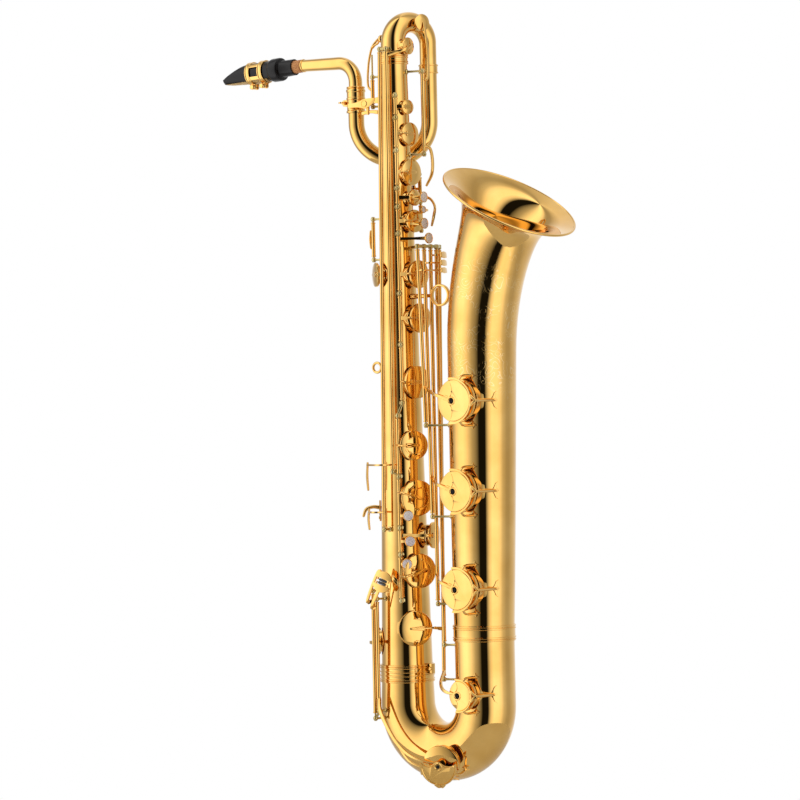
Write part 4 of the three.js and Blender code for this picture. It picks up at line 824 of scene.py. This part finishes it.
def guard(hole, side, reach):
    """One guard: a half-moon with a boss, a Y-shaped main leg and two side legs, all with shaped feet."""
    across = square_to(V(side), hole.normal)
    along = hole.normal.cross(across)
    lift = hole.seat + GUARD_LIFT

    def at(x, y, height):
        return hole.centre + hole.normal * height + across * x + along * y

    r = hole.radius + 1
    start = (r * math.cos(HALF_MOON), r * math.sin(HALF_MOON))
    turns = [HALF_MOON * (i / 18 - 1) for i in range(37)]
    outline = [(r * math.cos(a), r * math.sin(a)) for a in turns]
    outline += curve_points(start, ((r * 0.12, r * 0.55), (-4, 5.5)), ((-6.5, 2.6), (-6.4, 0)),
        ((-6.5, -2.6), (-4, -5.5)), ((r * 0.12, -r * 0.55), (start[0], -start[1])))[1:-1]
    face = cut_plate(outline, GUARD_PLATE, at(0, 0, lift), hole.normal, across, 0.5, groove=r * 0.42)
    parts = [face, ringed_boss(at(0, 0, lift), hole.normal)]
    for angle, far in ((0, reach), (SIDE_LEG, 0), (-SIDE_LEG, 0)):
        rim_x, rim_y = (r - 1) * math.cos(angle), (r - 1) * math.sin(angle)
        foot_x, foot_y = far or rim_x + 2, rim_y * FOOT_SPREAD
        foot = at(foot_x, foot_y, math.sqrt(hole.tube_r ** 2 - foot_x ** 2) + GAP + 0.6)
        outward = (foot - at(0, foot_y, 0)).normalized()
        if far:
            knee = at((rim_x + foot_x) / 2 + 1.5, foot_y, lift - 3)
            for split in (-6, 6):
                branch = [at(rim_x - 0.6, split, lift + 0.7), at(rim_x + 3, split * 0.45, lift - 0.6), knee]
                parts.append(drawn(branch, [4.6, 3.6, 3.4], 2, hole.normal, between=5))
            parts.append(drawn([knee, foot + outward * 1.4], [4, 4.6], 2, hole.normal))
        else:
            knee = at(rim_x + 1.6, foot_y, lift - 5)
            leg = [at(rim_x, rim_y, lift + 0.7), knee, foot + outward * 1.4]
            parts.append(drawn(leg, [3, 3, 3.4], 2, hole.normal))
        foot_outline = FISHTAIL if far else four_lobes
        parts.append(cut_plate(foot_outline, FOOT_PLATE, foot - outward * 0.2, outward, along, 0.25))
        parts.append(rod(foot, foot + outward * 2.2, 1.9, 1.5))
    felts.append(turned([(0, 1.45), (2.3, 1.45), (2.3, 1.8), (1.2, 1.9), (1, 1.6), (0, 1.6)],
        at(0, 0, lift), hole.normal, 24))
    felts.append(turned([(0, -5.5), (3.2, -5.5), (3.6, -5), (3.6, -2), (0, -2)], at(0, 0, lift),
        hole.normal, 24))
    return joined(parts)


RIGHTWARD = V((1, 0, 0))
for name, hole, side, reach in (
    ("low_b_flat", bell_holes["low_b_flat"], RIGHTWARD, 35),
    ("low_b", bell_holes["low_b"], RIGHTWARD, 34.5), ("low_a", bell_holes["low_a"], RIGHTWARD, 33),
    ("low_c_sharp", bow_holes["low_c_sharp"], RIGHTWARD, 29), ("low_c", bow_holes["low_c"], -UP, 27),
):
    brass_on_horn(guard(hole, side, reach), f"{name}_guard_plate", f"{name}_guard")
# Pressed wool felt: black, matt and slightly fuzzy.
felt = plain_finish("pressed_black_felt", "#141212", "#241E1E", 0.95, 0, 1400, (0.4, 0.6), 0.5)
fit(joined(felts), "guard_bumper_felts", "horn", felt, "roller_black")

# ---------------------------------------------------------------- hinge rods and posts
# Keys turn on long steel rods held between turned brass posts. Each post has a flange soldered to
# the tube, a slim stem and a ball that the rod is screwed through, its slotted end showing.


class Line:
    def __init__(self, top, bottom):
        self.top, self.bottom = V(top), V(bottom)
        self.axis = (self.bottom - self.top).normalized()

    def at(self, z):
        return self.top.lerp(self.bottom, (z - self.top.z) / (self.bottom.z - self.top.z))


lines = {
    "upper": Line(polar(-52, 28, 345), polar(-52, 35.8, -46)),
    "lower": Line(polar(-62, 37.4, -62), polar(-62, 42, -296)),
    "long_right": Line(polar(-94, 27.4, 404), polar(-94, 39.6, -206)),
    "long_left": Line(polar(-74.5, 27, 404), polar(-74.5, 37.6, -133)),
    "palm": Line((37, 11, 376), (37, 11, 270)),
    "left": Line(polar(52, 31, 246), polar(52, 32, 174)),
    "octave": Line(polar(-169.4, 30.5, 398), polar(-169.4, 30.5, 334)),
    "thumb": Line(polar(-172, 35, 190), polar(-172, 35, 138)),
    "table_1": Line(polar(-118.7, 46, -284), polar(-118.7, 46.5, -446)),
    "table_2": Line(polar(-111, 44, -294), polar(-111, 44.5, -436)),
    "bell_1": Line((44, -18.7, 152), (60, -31, -75)),
    "bell_2": Line((46, -7, 152), (64, -27, -190)),
    "bell_3": Line((47.5, 5, 152), (66, -22, -300)),
    "bell_4": Line((48, 17, 152), (70, -16, -352)),
    "bell_5": Line((44, 29, 152), (64, -10, -396)),
}
post_heights = {
    "upper": [345, 316.5, 275, 227, 203, 169, 93, 28, -46], "lower": [-62, -139, -204, -238, -296],
    "long_right": [404, -206], "long_left": [404, -133], "palm": [376, 270], "left": [246, 210, 174],
    "octave": [372, 334], "thumb": [190, 138], "table_1": [-284, -446], "table_2": [-294, -436],
}
# Polished rod and post brass, painted paler and a little greener than the tubes: the colour stands in for
# the pale reflection of the bright surround.
rod_brass = finish_metal("rod_brass_painted_pale", "#D9C78C", "#BFA765", (0.14, 0.24), 0.3)


def post(foot, head, axis):
    way = (head - foot).normalized()
    tall = (head - foot).length
    stem = turned([
        (0, -0.2), (3.4, -0.2), (3.6, 0.2), (3.2, 0.8), (1.9, 1.3), (1.5, 2.4), (1.35, tall * 0.6),
        (1.7, tall - 2.8), (2.4, tall - 2.2), (2.9, tall - 1.2), (3.05, tall), (2.7, tall + 1.4),
        (1.9, tall + 2.4), (0, tall + 3),
    ], foot, way, 24)
    return joined(stem, rod(head - axis * 3.1, head + axis * 3.1, 2.2, edge=0.4))


def body_post(line, z):
    head = line.at(z)
    return post(V((head.x, head.y, 0)).normalized() * (body_radius(z) + GAP) + UP * z, head, line.axis)


def rods_and_posts(name, line_names, *bridges):
    parts = []
    for line_name in line_names:
        line = lines[line_name]
        parts.append(rod(line.top - line.axis * 2.8, line.bottom + line.axis * 2.8, 1.2))
        parts += [body_post(line, z) for z in post_heights[line_name]]
    for a, b in bridges:
        parts.append(drawn([a, b], 3, 3, polar(30, 1, 0)))
    fit(joined(parts), name.replace("_and_", "_with_"), "horn", rod_brass, "rod_steel", name)


rods_and_posts("stack_rods_and_posts", ["upper", "lower"], (lines["upper"].bottom, lines["lower"].top))
rods_and_posts("long_rods_and_posts", ["long_right", "long_left"],
    (lines["long_right"].top, lines["long_left"].top))
rods_and_posts("palm_rod_and_posts", ["palm"])
rods_and_posts("left_rod_and_posts", ["left"])
rods_and_posts("octave_rods_and_posts", ["octave", "thumb"], (
    polar(-170.6, body_radius(334) + 1.9, 336), polar(-170.6, body_radius(138) + 1.9, 136)))
rods_and_posts("table_rods_and_posts", ["table_1", "table_2"],
    (lines["table_1"].at(-447), lines["table_2"].at(-438)))

bell_lines = [lines[f"bell_{i}"] for i in range(1, 6)]


def bell_foot(head):
    on_bell = head.z > BELL_BOTTOM_Z - 20
    centre = bell_axis(head.z) if on_bell else V((BOW_SPAN, 0, head.z))
    radius = bell_radius(BELL_LENGTH - (head.z - BELL_BOTTOM_Z)) if on_bell else 37.7
    return centre + (head - centre).to_2d().to_3d().normalized() * (radius + GAP)


bell_parts = [drawn([line.top for line in bell_lines], 5, 4, UP, 16, between=4),
              drawn([V((body_radius(152) + GAP, 4, 152)), V((47, 4, 152))], [8, 6], 4, UP, 16)]
for line in bell_lines:
    bell_parts += [rod(line.top - line.axis * 2, line.bottom + line.axis * 2.8, 1.2),
                   rod(line.top - line.axis * 2.6, line.top + line.axis * 3.4, 2.9, edge=0.6),
                   post(bell_foot(line.bottom), line.bottom, line.axis)]
fit(joined(bell_parts), "bell_key_rods_with_posts", "horn", rod_brass, "rod_steel", "bell_key_rods")

# ---------------------------------------------------------------- keys
# Each key is a brass tube on its rod with a forged arm to a pressed cup. The cup holds a leather
# pad, maroon with a brass resonator in its middle.

CUP_HEIGHT = 6
KEY_TUBE_R = 2.5
pads, resonators = {}, {}
# Oiled kid leather stretched over felt: maroon, soft, with a fine grain.
leather = plain_finish("maroon_kid_leather", "#6A2636", "#4A1826", 0.55, 0.1, 700, (0.35, 0.65), 0.25)
# Mother of pearl: milky white with soft pinkish clouds under a polish.
pearl = plain_finish("mother_of_pearl", "#F9F1EA", "#E4D8DA", 0.18, 1.0, 90, (0.38, 0.62), 0.02)
pearls = {}


def cup(hole, owner):
    """A pressed key cup with a rolled rim, a stepped crown and its pad; the pad waits in `pads`."""
    r = hole.radius
    body = turned([
        (r - 1, 0.9), (r - 0.25, 0.9), (r, 1.3), (r, 3.2), (r - 0.35, 4), (r - 1.3, 4.5), (r * 0.7, 4.9),
        (r * 0.66, 5.15), (r * 0.4, 5.45), (0, 5.7), (0, 4.4), (r * 0.7, 3.8), (r - 1, 3), (r - 1, 0.9),
    ], hole.pad, hole.normal, 64)
    pad = turned([(0, 0.25), (r * 0.55, 0.25), (r - 2.2, 0.1), (r - 1.4, 0.3), (r - 0.9, 0.9),
        (r - 0.9, 2.6), (0, 2.6)], hole.pad, hole.normal, 48)
    pads.setdefault(owner, []).append(pad)
    if r > 14:
        resonators.setdefault(owner, []).append(turned([(0, -0.15), (r * 0.3, -0.1), (r * 0.42, 0.1),
            (r * 0.42, 0.4), (0, 0.4)], hole.pad, hole.normal, 32))
    return body


def cup_arm(hinge, hole, width=4.5, thick=2.4):
    """A forged arm: broad at the tube, slim over the cup, ending in a soldered spine past its middle."""
    top = hole.pad + hole.normal * (CUP_HEIGHT + 0.2)
    away = square_to(hinge - top, hole.normal)
    edge = top + away * (hole.radius + 0.6)
    tip = top - away * (hole.radius * 0.34)
    seat = drawn([top + away * (hole.radius * 0.62), tip], [7, 3], 1.4, hole.normal, 14)
    arm = drawn([hinge, hinge.lerp(edge, 0.55) + hole.normal * 1.2, edge + hole.normal * 0.3, top, tip],
        [width + 1, width, width * 0.85, width * 0.7, 1.6], [thick + 1, thick, thick, thick * 0.9, 1],
        hole.normal, 14)
    return [arm, seat]


def key_tube(line, top_z, bottom_z):
    a, b = line.at(top_z), line.at(bottom_z)
    way = (b - a).normalized()
    length = (b - a).length
    collars = [ring(a + way * at, way, KEY_TUBE_R) for at in (1.2, length - 1.2)]
    return [rod(a, b, KEY_TUBE_R, edge=0.25, steps=24)] + collars


def ring(centre, way, r):
    return turned([(r - 0.4, -0.9), (r + 0.35, -0.9), (r + 0.6, 0), (r + 0.35, 0.9), (r - 0.4, 0.9),
        (r - 0.4, -0.9)], centre, way, 24)


def make_key(node_name, line, top_z, bottom_z, *pieces):
    body = joined(key_tube(line, top_z, bottom_z), *pieces)
    fit(body, node_name.replace("_key", "_keywork"), node_name, brass, "lacquered_brass", node_name)
    if node_name in pads:
        fit(joined(pads[node_name]), f"{node_name}_pad", node_name, leather, "lacquered_brass")
    if node_name in resonators:
        fit(joined(resonators[node_name]), f"{node_name}_resonator", node_name, brass, "lacquered_brass")
    if node_name in pearls:
        fit(joined(pearls[node_name]), f"{node_name}_pearl", node_name, pearl, "lacquered_brass")


def touch_pearl(owner, centre, way, radius):
    """A pearl disc held in a turned brass cup with a thin lip."""
    pearls.setdefault(owner, []).append(turned([(0, 0.8), (radius - 0.75, 0.8), (radius - 0.75, 2.9),
        (radius - 1.1, 3.3), (radius * 0.5, 3), (0, 2.8)], centre, way, 40))
    return turned([
        (0, 0), (radius - 1.6, 0), (radius - 0.5, 0.8), (radius, 2), (radius, 3.2), (radius - 0.3, 3.5),
        (radius - 0.75, 3.2), (radius - 0.8, 1), (0, 1),
    ], centre, way, 40)


def pearl_on_arm(owner, line, z, centre, way, radius):
    return [drawn([line.at(z), line.at(z).lerp(centre, 0.5) + V(way) * 1.5, centre - V(way) * 0.4],
        [4.4, 3.4, 5], [3, 2.4, 2], way), touch_pearl(owner, centre, way, radius)]


def cup_key(node_name, line, top_z, bottom_z, hole, arm_z, *extra):
    make_key(node_name, line, top_z, bottom_z, cup(hole, node_name), cup_arm(line.at(arm_z), hole), *extra)


def left_pearl(owner, z, radius, reach=47):
    return pearl_on_arm(owner, lines["upper"], z, polar(-5, reach - 4, z), polar(-5, 1, 0), radius)


def right_pearl(owner, z, angle):
    return pearl_on_arm(owner, lines["lower"], z, polar(angle, body_radius(z) + 15, z), polar(-52, 1, 0),
        6.9)


def crescent(hole, way_out):
    """A sickle-shaped strengthening plate on a cup's crown."""
    top = hole.pad + hole.normal * 5
    across = square_to(V(way_out), hole.normal)
    r = hole.radius
    outer = [(r * 0.72 * math.cos(a), r * 0.72 * math.sin(a))
        for a in [-1.2 + 2.4 * i / 20 for i in range(21)]]
    inner = [(r * 0.26 + r * 0.5 * math.cos(a) - r * 0.18,
        r * 0.52 * math.sin(a)) for a in [1.2 - 2.4 * i / 20 for i in range(21)]]
    return cut_plate(outer + inner, 0.9, top, hole.normal, across, 0.25)


up, low = lines["upper"], lines["lower"]
cup_key("palm_f_key", up, 341.3, 320.2, body_holes["palm_f"], 330)
cup_key("palm_e_flat_key", up, 312.8, 278.7, body_holes["palm_e_flat"], 296)
cup_key("palm_d_key", up, 271.3, 230.7, body_holes["palm_d"], 247)
cup_key("b_key", up, 223.3, 206.7, body_holes["b"], 214.4, *left_pearl("b_key", 214.4, 7))
cup_key("a_key", up, 199.3, 172.7, body_holes["a"], 184.6, *left_pearl("a_key", 181, 7))
cup_key("g_key", up, 165.3, 96.7, body_holes["g"], 117, *left_pearl("g_key", 162, 7, 54))
cup_key("upper_f_sharp_key", up, 89.3, 31.7, body_holes["upper_f_sharp"], 61.3)
cup_key("g_sharp_key", up, 24.3, -42.3, body_holes["g_sharp"], -20)
cup_key("f_sharp_key", low, -65.7, -135.3, body_holes["f_sharp"], -100,
    crescent(body_holes["f_sharp"], -UP))
cup_key("f_key", low, -142.7, -200.3, body_holes["f"], -160, crescent(body_holes["f"], (1, 0, -0.3)),
    *right_pearl("f_key", -188.6, -47))
cup_key("e_key", low, -207.7, -234.3, body_holes["e"], -214, *right_pearl("e_key", -221, -45))
cup_key("d_key", low, -241.7, -292.3, body_holes["d"], -266, crescent(body_holes["d"], (1, 0, 0.2)),
    *right_pearl("d_key", -249.7, -51))


def side_touch(line, z, angle, reach, low_z, high_z):
    start = line.at(z)
    own = math.degrees(math.atan2(start.y, start.x))
    out = polar(angle, 1, 0)
    arm = drawn([start, polar((angle + 2 * own) / 3, reach + 3, z), polar(angle, reach, z)], [4.6, 4, 4],
        2.6, UP)
    touch = drawn([polar(angle, reach, low_z), polar(angle, reach + 1, (low_z + high_z) / 2),
        polar(angle, reach, high_z)], [3.4, 5.6, 3.4], 2.6, out, 16, 3)
    return [arm, touch]


cup_key("high_e_key", lines["long_left"], 400.3, -129.3, top_holes["high_e"], 396,
        *side_touch(lines["long_left"], -124, -126, 47, -156, -121))
cup_key("side_c_key", lines["long_right"], 400.3, -202.3, body_holes["side_c"], 118,
        *side_touch(lines["long_right"], -184, -126, 46.5, -206, -180))

sharp = top_holes["high_f_sharp"]
sharp_cup = cup(sharp, "high_f_sharp_key")
sharp_arm = drawn([(37, 11, 366), (43.5, 13, 368), (42, 16, 400), (36.5, 20, 426),
    sharp.pad + sharp.normal * 6], [4.4, 3.6, 3.6, 3.4, 2.4], [3, 2.6, 2.4, 2.4, 1.8], (1, 0, 0), 14)
sharp_lever = drawn([(37, 11, 281), (45, 12.5, 277), (51, 9, 262), (51, 7, 244), (45, 3, 229)],
                    [4, 4.6, 5.4, 5, 3.4], [4, 4, 3.6, 3.6, 3], (1, 0, 0), 16, 2)
make_key("high_f_sharp_key", lines["palm"], 372.3, 273.7, sharp_cup, sharp_arm, sharp_lever)

left = lines["left"]
trill_lever = drawn([left.at(217), (36, 22, 214), (50, 13, 203), (51, 9, 190), (49, 7, 178)],
                    [4, 4, 4.6, 5, 3], [4, 3.6, 3.4, 3, 2.4], (1, 0, 0), 14, 2)
cup_key("side_trill_key", left, 242.3, 213.7, body_holes["trill"], 228, trill_lever)
BIS_Z = 198.5
bis_way = polar(-5, 1, 0)
bis_arm = drawn([left.at(BIS_Z), (38, 14, BIS_Z), (42.6, -4.4, BIS_Z)], [3.6, 3, 3.2], 2.2, bis_way)
bis_touch = touch_pearl("bis_key", polar(-5, 42, BIS_Z), bis_way, 4.6)
make_key("bis_key", left, 206.3, 177.7, bis_arm, bis_touch)

pip = top_holes["octave"]
pip_cup = cup(pip, "octave_key")
pip_wire = drawn([(-30, -5.6, 354), (-37.5, -5, 362), (-38.5, -2, 388), (-34, 0, 410), (-26, 2.6, 421)],
                 3, 3, None, 12, 2)
make_key("octave_key", lines["octave"], 368.3, 337.7, pip_cup, pip_wire,
    cup_arm(V((-34, 0, 410)), pip, 2.8, 2))
thumb = lines["thumb"]
thumb_arm = drawn([thumb.at(164), polar(178, 42, 164)], 8, 2.6, polar(-90, 1, 0))
thumb_plate = drawn([polar(178, 42, 153), polar(178, 42.6, 164.5), polar(178, 42, 176)],
                    [7, 9, 7], 2.6, polar(178, 1, 0), 20, 3)
make_key("octave_thumb_lever", thumb, 186.3, 141.7, thumb_arm, thumb_plate)

# ---------------------------------------------------------------- right little-finger table
# Two half-round touches of one brass disc, sawn apart, with a hard-rubber roller in brackets along
# each straight edge. The upper works the E flat cup behind the body, the lower the low C cup.

TABLE = V((1, -50, -272))
TABLE_NORMAL = V((0.15, -0.98, 0.12)).normalized()
TABLE_SLOPE = V((0.93, 0.1, -0.34))
TABLE_R = 13.5
SPLIT = 4
table_y = TABLE_NORMAL.cross(TABLE_SLOPE).normalized()
table_x = table_y.cross(TABLE_NORMAL)
ROLLER_R, ROLLER_HALF, ROLLER_Y = 1.7, 6.5, 1.9


def on_table(x, y, height):
    return TABLE + table_x * x + table_y * y + TABLE_NORMAL * height


def half_touch(sign):
    start = math.asin(SPLIT / TABLE_R)
    sweep = math.pi - 2 * start
    outline = [(TABLE_R * math.cos(start + sweep * i / 30),
        TABLE_R * math.sin(start + sweep * i / 30)) for i in range(31)]
    face = cut_plate(outline, 2.4, TABLE, TABLE_NORMAL, TABLE_SLOPE * sign, 0.5)
    holders = [drawn([on_table(end * (ROLLER_HALF + 1.6), sign * ROLLER_Y * 0.8, 0.6),
        on_table(end * (ROLLER_HALF + 1.6), sign * 5.5, 0.6)], 2, 2.2, TABLE_NORMAL) for end in (-1, 1)]
    return [face] + holders


table_1, table_2 = lines["table_1"], lines["table_2"]
e_flat_touch = half_touch(1)
e_flat_arm = drawn([table_1.at(-296), polar(-118.7, 54, -296), on_table(-12, 9, -1), on_table(-4, 8, 0.2)],
                   [5, 4, 4, 5], 2.4, TABLE_NORMAL)
cup_key("e_flat_key", table_1, -287.7, -439.5, body_holes["e_flat"], -350, *e_flat_touch, e_flat_arm)
low_c = bow_holes["low_c"]
low_c_cup = cup(low_c, "low_c_key")
low_c_touch = half_touch(-1)
low_c_arms = [drawn([table_2.at(-304), polar(-111, 52, -304), on_table(-2, -9, 0.2)], [5, 4, 5], 2.4,
    TABLE_NORMAL), drawn([table_2.at(-420), (-6, -51, -438), (22, -57, -474), (52, -60, -492),
    low_c.pad + low_c.normal * 6], [6, 5.4, 4.6, 4, 2], [4, 3.4, 3, 2.6, 1.4], FRONT, 14),
    drawn([(20, -56.4, -472), (46, -59, -498), low_c.pad + low_c.normal * 5.8 + V((-4, 0, -8))],
    [3.4, 3, 1.4], [2.4, 2, 1], FRONT)]
make_key("low_c_key", table_2, -297.7, -432.3, low_c_cup, *low_c_touch, *low_c_arms)
# Turned hard rubber, polished: glossy black.
roller_rubber = plain_finish("turned_black_rubber", "#161414", "#0E0D0D", 0.22, 0.6, 80, (0.3, 0.7), 0.02)
for name, sign in (("e_flat", 1), ("low_c", -1)):
    roller_at = [on_table(-ROLLER_HALF + 0.9, sign * ROLLER_Y, 1.2),
        on_table(ROLLER_HALF - 0.9, sign * ROLLER_Y, 1.2)]
    length = (roller_at[1] - roller_at[0]).length
    barrel = turned([(0, 0), (1.1, 0), (1.55, 0.5), (ROLLER_R, 2), (ROLLER_R, length - 2),
        (1.55, length - 0.5), (1.1, length), (0, length)], roller_at[0], roller_at[1] - roller_at[0], 28)
    fit(barrel, f"{name}_roller_barrel", f"{name}_roller", roller_rubber, "roller_black", f"{name}_roller")

# ---------------------------------------------------------------- left little-finger table, bell keys
# The left little finger works the bell keys on long tubes that run down the gap between body and
# bell. Their touches are flat brass plates stacked one above another.

LEFT_TABLE = V((63, 12, 0))
LEFT_NORMAL = V((0.94, 0.3, 0.1)).normalized()
LEFT_ACROSS = V((-0.3, 0.94, 0))


def left_touch(line, z, height):
    a = LEFT_TABLE + LEFT_ACROSS * -12 + UP * z
    b = LEFT_TABLE + LEFT_ACROSS * 9 + UP * z
    mid = a.lerp(b, 0.5)
    return [drawn([a, mid + LEFT_NORMAL * 0.6, b], [height * 0.8, height, height * 0.8], 2.4, LEFT_NORMAL,
        20, 5), drawn([line.at(z), line.at(z) + V((9, 1, 0)), mid + V((-4, 0, 0)), mid], 3.6, 2.4, UP)]


for name, line, low_z, touch_z, height in (
    ("low_b_flat", lines["bell_1"], -71, 121, 8), ("low_b", lines["bell_2"], -186, 130.5, 8.6),
    ("low_a", lines["bell_3"], -296, 140.5, 9),
):
    hole = bell_holes[name]
    cup_key(f"{name}_key", line, 148, low_z, hole, hole.centre.z + 18, *left_touch(line, touch_z, height))
cup_key("low_d_key", lines["bell_4"], 148, -348, body_holes["low_d"], -331.8)
low_cs = bow_holes["low_c_sharp"]
low_cs_cup = cup(low_cs, "low_c_sharp_key")
low_cs_arm = drawn([lines["bell_5"].at(-386), (80, -40, -398), (96, -53.5, -407),
    low_cs.pad + low_cs.normal * 6.4], [6, 4.6, 4, 1.8], [4, 3, 2.6, 1.2], FRONT, 14)
make_key("low_c_sharp_key", lines["bell_5"], 148, -392, low_cs_cup, low_cs_arm)

# ---------------------------------------------------------------- strap ring, thumb hook, thumb rest
# The strap ring is a forged ring on a soldered plate. The right thumb goes under a cast hook, and
# the left thumb sits on a black button.

eye = V((-STRAP_EYE_TO_AXIS, 0, 0))
plate_x = -body_radius(0) - GAP - 1.4
ring_wire = turned([(6.2 + 1.7 * math.cos(a), 1.7 * math.sin(a))
    for a in [math.tau * i / 16 for i in range(17)]], eye, LEFT, 56)
shield = cut_plate([(14 * math.cos(a) * (1 - 0.18 * math.cos(2 * a + math.pi)) / 1.18,
    4.5 * math.sin(a)) for a in [math.tau * i / 40 for i in range(40)]], 2, V((plate_x + 1, 0, 0)),
    (-1, 0, 0), UP, 0.4)
neck_of_ring = drawn([V((plate_x, 0, 0)), V((eye.x + 6.4, 0, 0))], [9, 4.6], 3.2, LEFT, 16)
strap_screws = [screw(V((plate_x - 1, 0, z)), (-1, 0, 0), 1.8, 1) for z in (-9.5, 9.5)]
brass_on_horn(joined(ring_wire, shield, neck_of_ring, strap_screws), "strap_ring_and_plate", "strap_ring")

HOOK_Z = -183
hook_out = polar(-152, 1, 0)
hook_foot = hook_out * (body_radius(HOOK_Z) + GAP + 1.4) + UP * HOOK_Z
hook = drawn([hook_foot + UP * 4, hook_foot + hook_out * 9 + UP * 5, hook_foot + hook_out * 18 + UP * 2,
              hook_foot + hook_out * 22 - UP * 7], [8, 7, 7, 4.4], [5.6, 4.6, 4.4, 3.4], UP, 16, 2.6)
hook_plate = drawn([hook_foot + UP * 13, hook_foot, hook_foot - UP * 13], [7, 10, 7], 2, hook_out, 20, 4)
hook_screw = screw(hook_foot - UP * 9 + hook_out, hook_out, 2, 1)
brass_on_horn(joined(hook, hook_plate, hook_screw), "thumb_hook_casting", "thumb_hook")

REST_Z = 120
REST_ANGLE = 172
rest_button = turned([
    (0, 0), (8, 0), (8, 1.6), (7.4, 2.1), (5, 3), (4.6, 4.5), (5.2, 6), (7, 7), (7.6, 8.2), (7.3, 9.4),
    (5.4, 10.6), (2.5, 11.3), (0, 11.5),
], polar(REST_ANGLE, body_radius(REST_Z) + GAP, REST_Z), polar(REST_ANGLE, 1, 0), 48)
fit(rest_button, "thumb_rest_button", "horn", roller_rubber, "roller_black", "thumb_rest")

# ---------------------------------------------------------------- floor, light and camera
# A pale floor under a white surround: two tall soft lights stand at the sides, so every tube
# carries a bright band on each side of one narrow dark one, as polished brass does in a studio.

AZIMUTH = math.radians(36)
to_camera = V((math.sin(AZIMUTH), -math.cos(AZIMUTH), 0))
rightward = V((math.cos(AZIMUTH), math.sin(AZIMUTH), 0))
bpy.ops.object.select_all(action="DESELECT")
FLOOR_R, FLOOR_Z = 0.85, -0.75
bpy.ops.mesh.primitive_circle_add(vertices=64, radius=FLOOR_R, fill_type="NGON", location=(0, 0, FLOOR_Z))
floor = bpy.context.active_object
floor.name = "floor"
floor_paint = bpy.data.materials.new("pale_floor")
floor_paint.use_nodes = True
floor_shader = floor_paint.node_tree.nodes["Principled BSDF"]
floor_shader.inputs["Base Color"].default_value = linear("#D4D4D4")
floor_shader.inputs["Roughness"].default_value = 0.9
floor.data.materials.append(floor_paint)

bpy.context.scene.view_settings.view_transform = "Standard"
world = bpy.data.worlds.new("studio")
bpy.context.scene.world = world
world.use_nodes = True
sky = world.node_tree
background = sky.nodes["Background"]
way = node(sky, "ShaderNodeTexCoord").outputs["Generated"]
aside = node(sky, "ShaderNodeVectorMath", [(0, way)], operation="DOT_PRODUCT", in_1=tuple(rightward))
ahead = node(sky, "ShaderNodeVectorMath", [(0, way)], operation="DOT_PRODUCT", in_1=tuple(to_camera))
turn = node(sky, "ShaderNodeMath", [(0, aside.outputs["Value"]), (1, ahead.outputs["Value"])],
    operation="ARCTAN2")
share = node(sky, "ShaderNodeMapRange", [("Value", turn.outputs[0])], in_From_Min=-math.pi,
    in_From_Max=math.pi)
light_map = node(sky, "ShaderNodeValToRGB", [("Fac", share.outputs[0])])
# Degrees round from the camera, and how bright the studio is there.
STUDIO = [(-180, 1.0), (-150, 0.5), (-132, 0.45), (-120, 0.6), (-106, 1.15), (-90, 1.62), (-74, 1.68),
    (-62, 1.4), (-50, 0.98), (-38, 0.56), (-26, 0.32), (-18, 0.12), (-15, 0.01), (7, 0.01), (10, 0.3),
    (18, 0.98), (30, 1.5), (50, 1.42), (60, 1.22), (72, 0.74), (88, 0.5), (100, 0.48), (120, 0.66),
    (145, 0.8), (180, 1.0)]
stops = [((degrees + 180) / 360, value / 2) for degrees, value in STUDIO]
elements = light_map.color_ramp.elements
while len(elements) < len(stops):
    elements.new(0.5)
for element, (place, value) in zip(elements, stops):
    element.position = place
    element.color = (value, value, value, 1)
path = node(sky, "ShaderNodeLightPath")
mixed = node(sky, "ShaderNodeMix", [("Factor", path.outputs["Is Camera Ray"])], data_type="RGBA")
lamps = node(sky, "ShaderNodeVectorMath", [(0, light_map.outputs["Color"])], operation="SCALE",
    in_Scale=2.0)
sky.links.new(lamps.outputs[0], mixed.inputs[6])
mixed.inputs[7].default_value = (1, 1, 1, 1)
sky.links.new(mixed.outputs[2], background.inputs["Color"])

camera_data = bpy.data.cameras.new("camera")
camera = bpy.data.objects.new("camera", camera_data)
bpy.context.scene.collection.objects.link(camera)
bpy.context.scene.camera = camera
camera_data.sensor_width = 36
camera_data.lens = 148
camera_data.clip_end = 60
LOOK_AT = V((STRAP_EYE_TO_AXIS / 1000, 0, -0.0422)) - rightward * 0.0017
CAMERA_DISTANCE = 4.2
CAMERA_ROLL = -1.32
camera.location = LOOK_AT + to_camera * CAMERA_DISTANCE
camera.rotation_euler = ((-to_camera).to_track_quat("-Z", "Y").to_matrix()
                         @ Matrix.Rotation(math.radians(CAMERA_ROLL), 3, "Z")).to_euler()
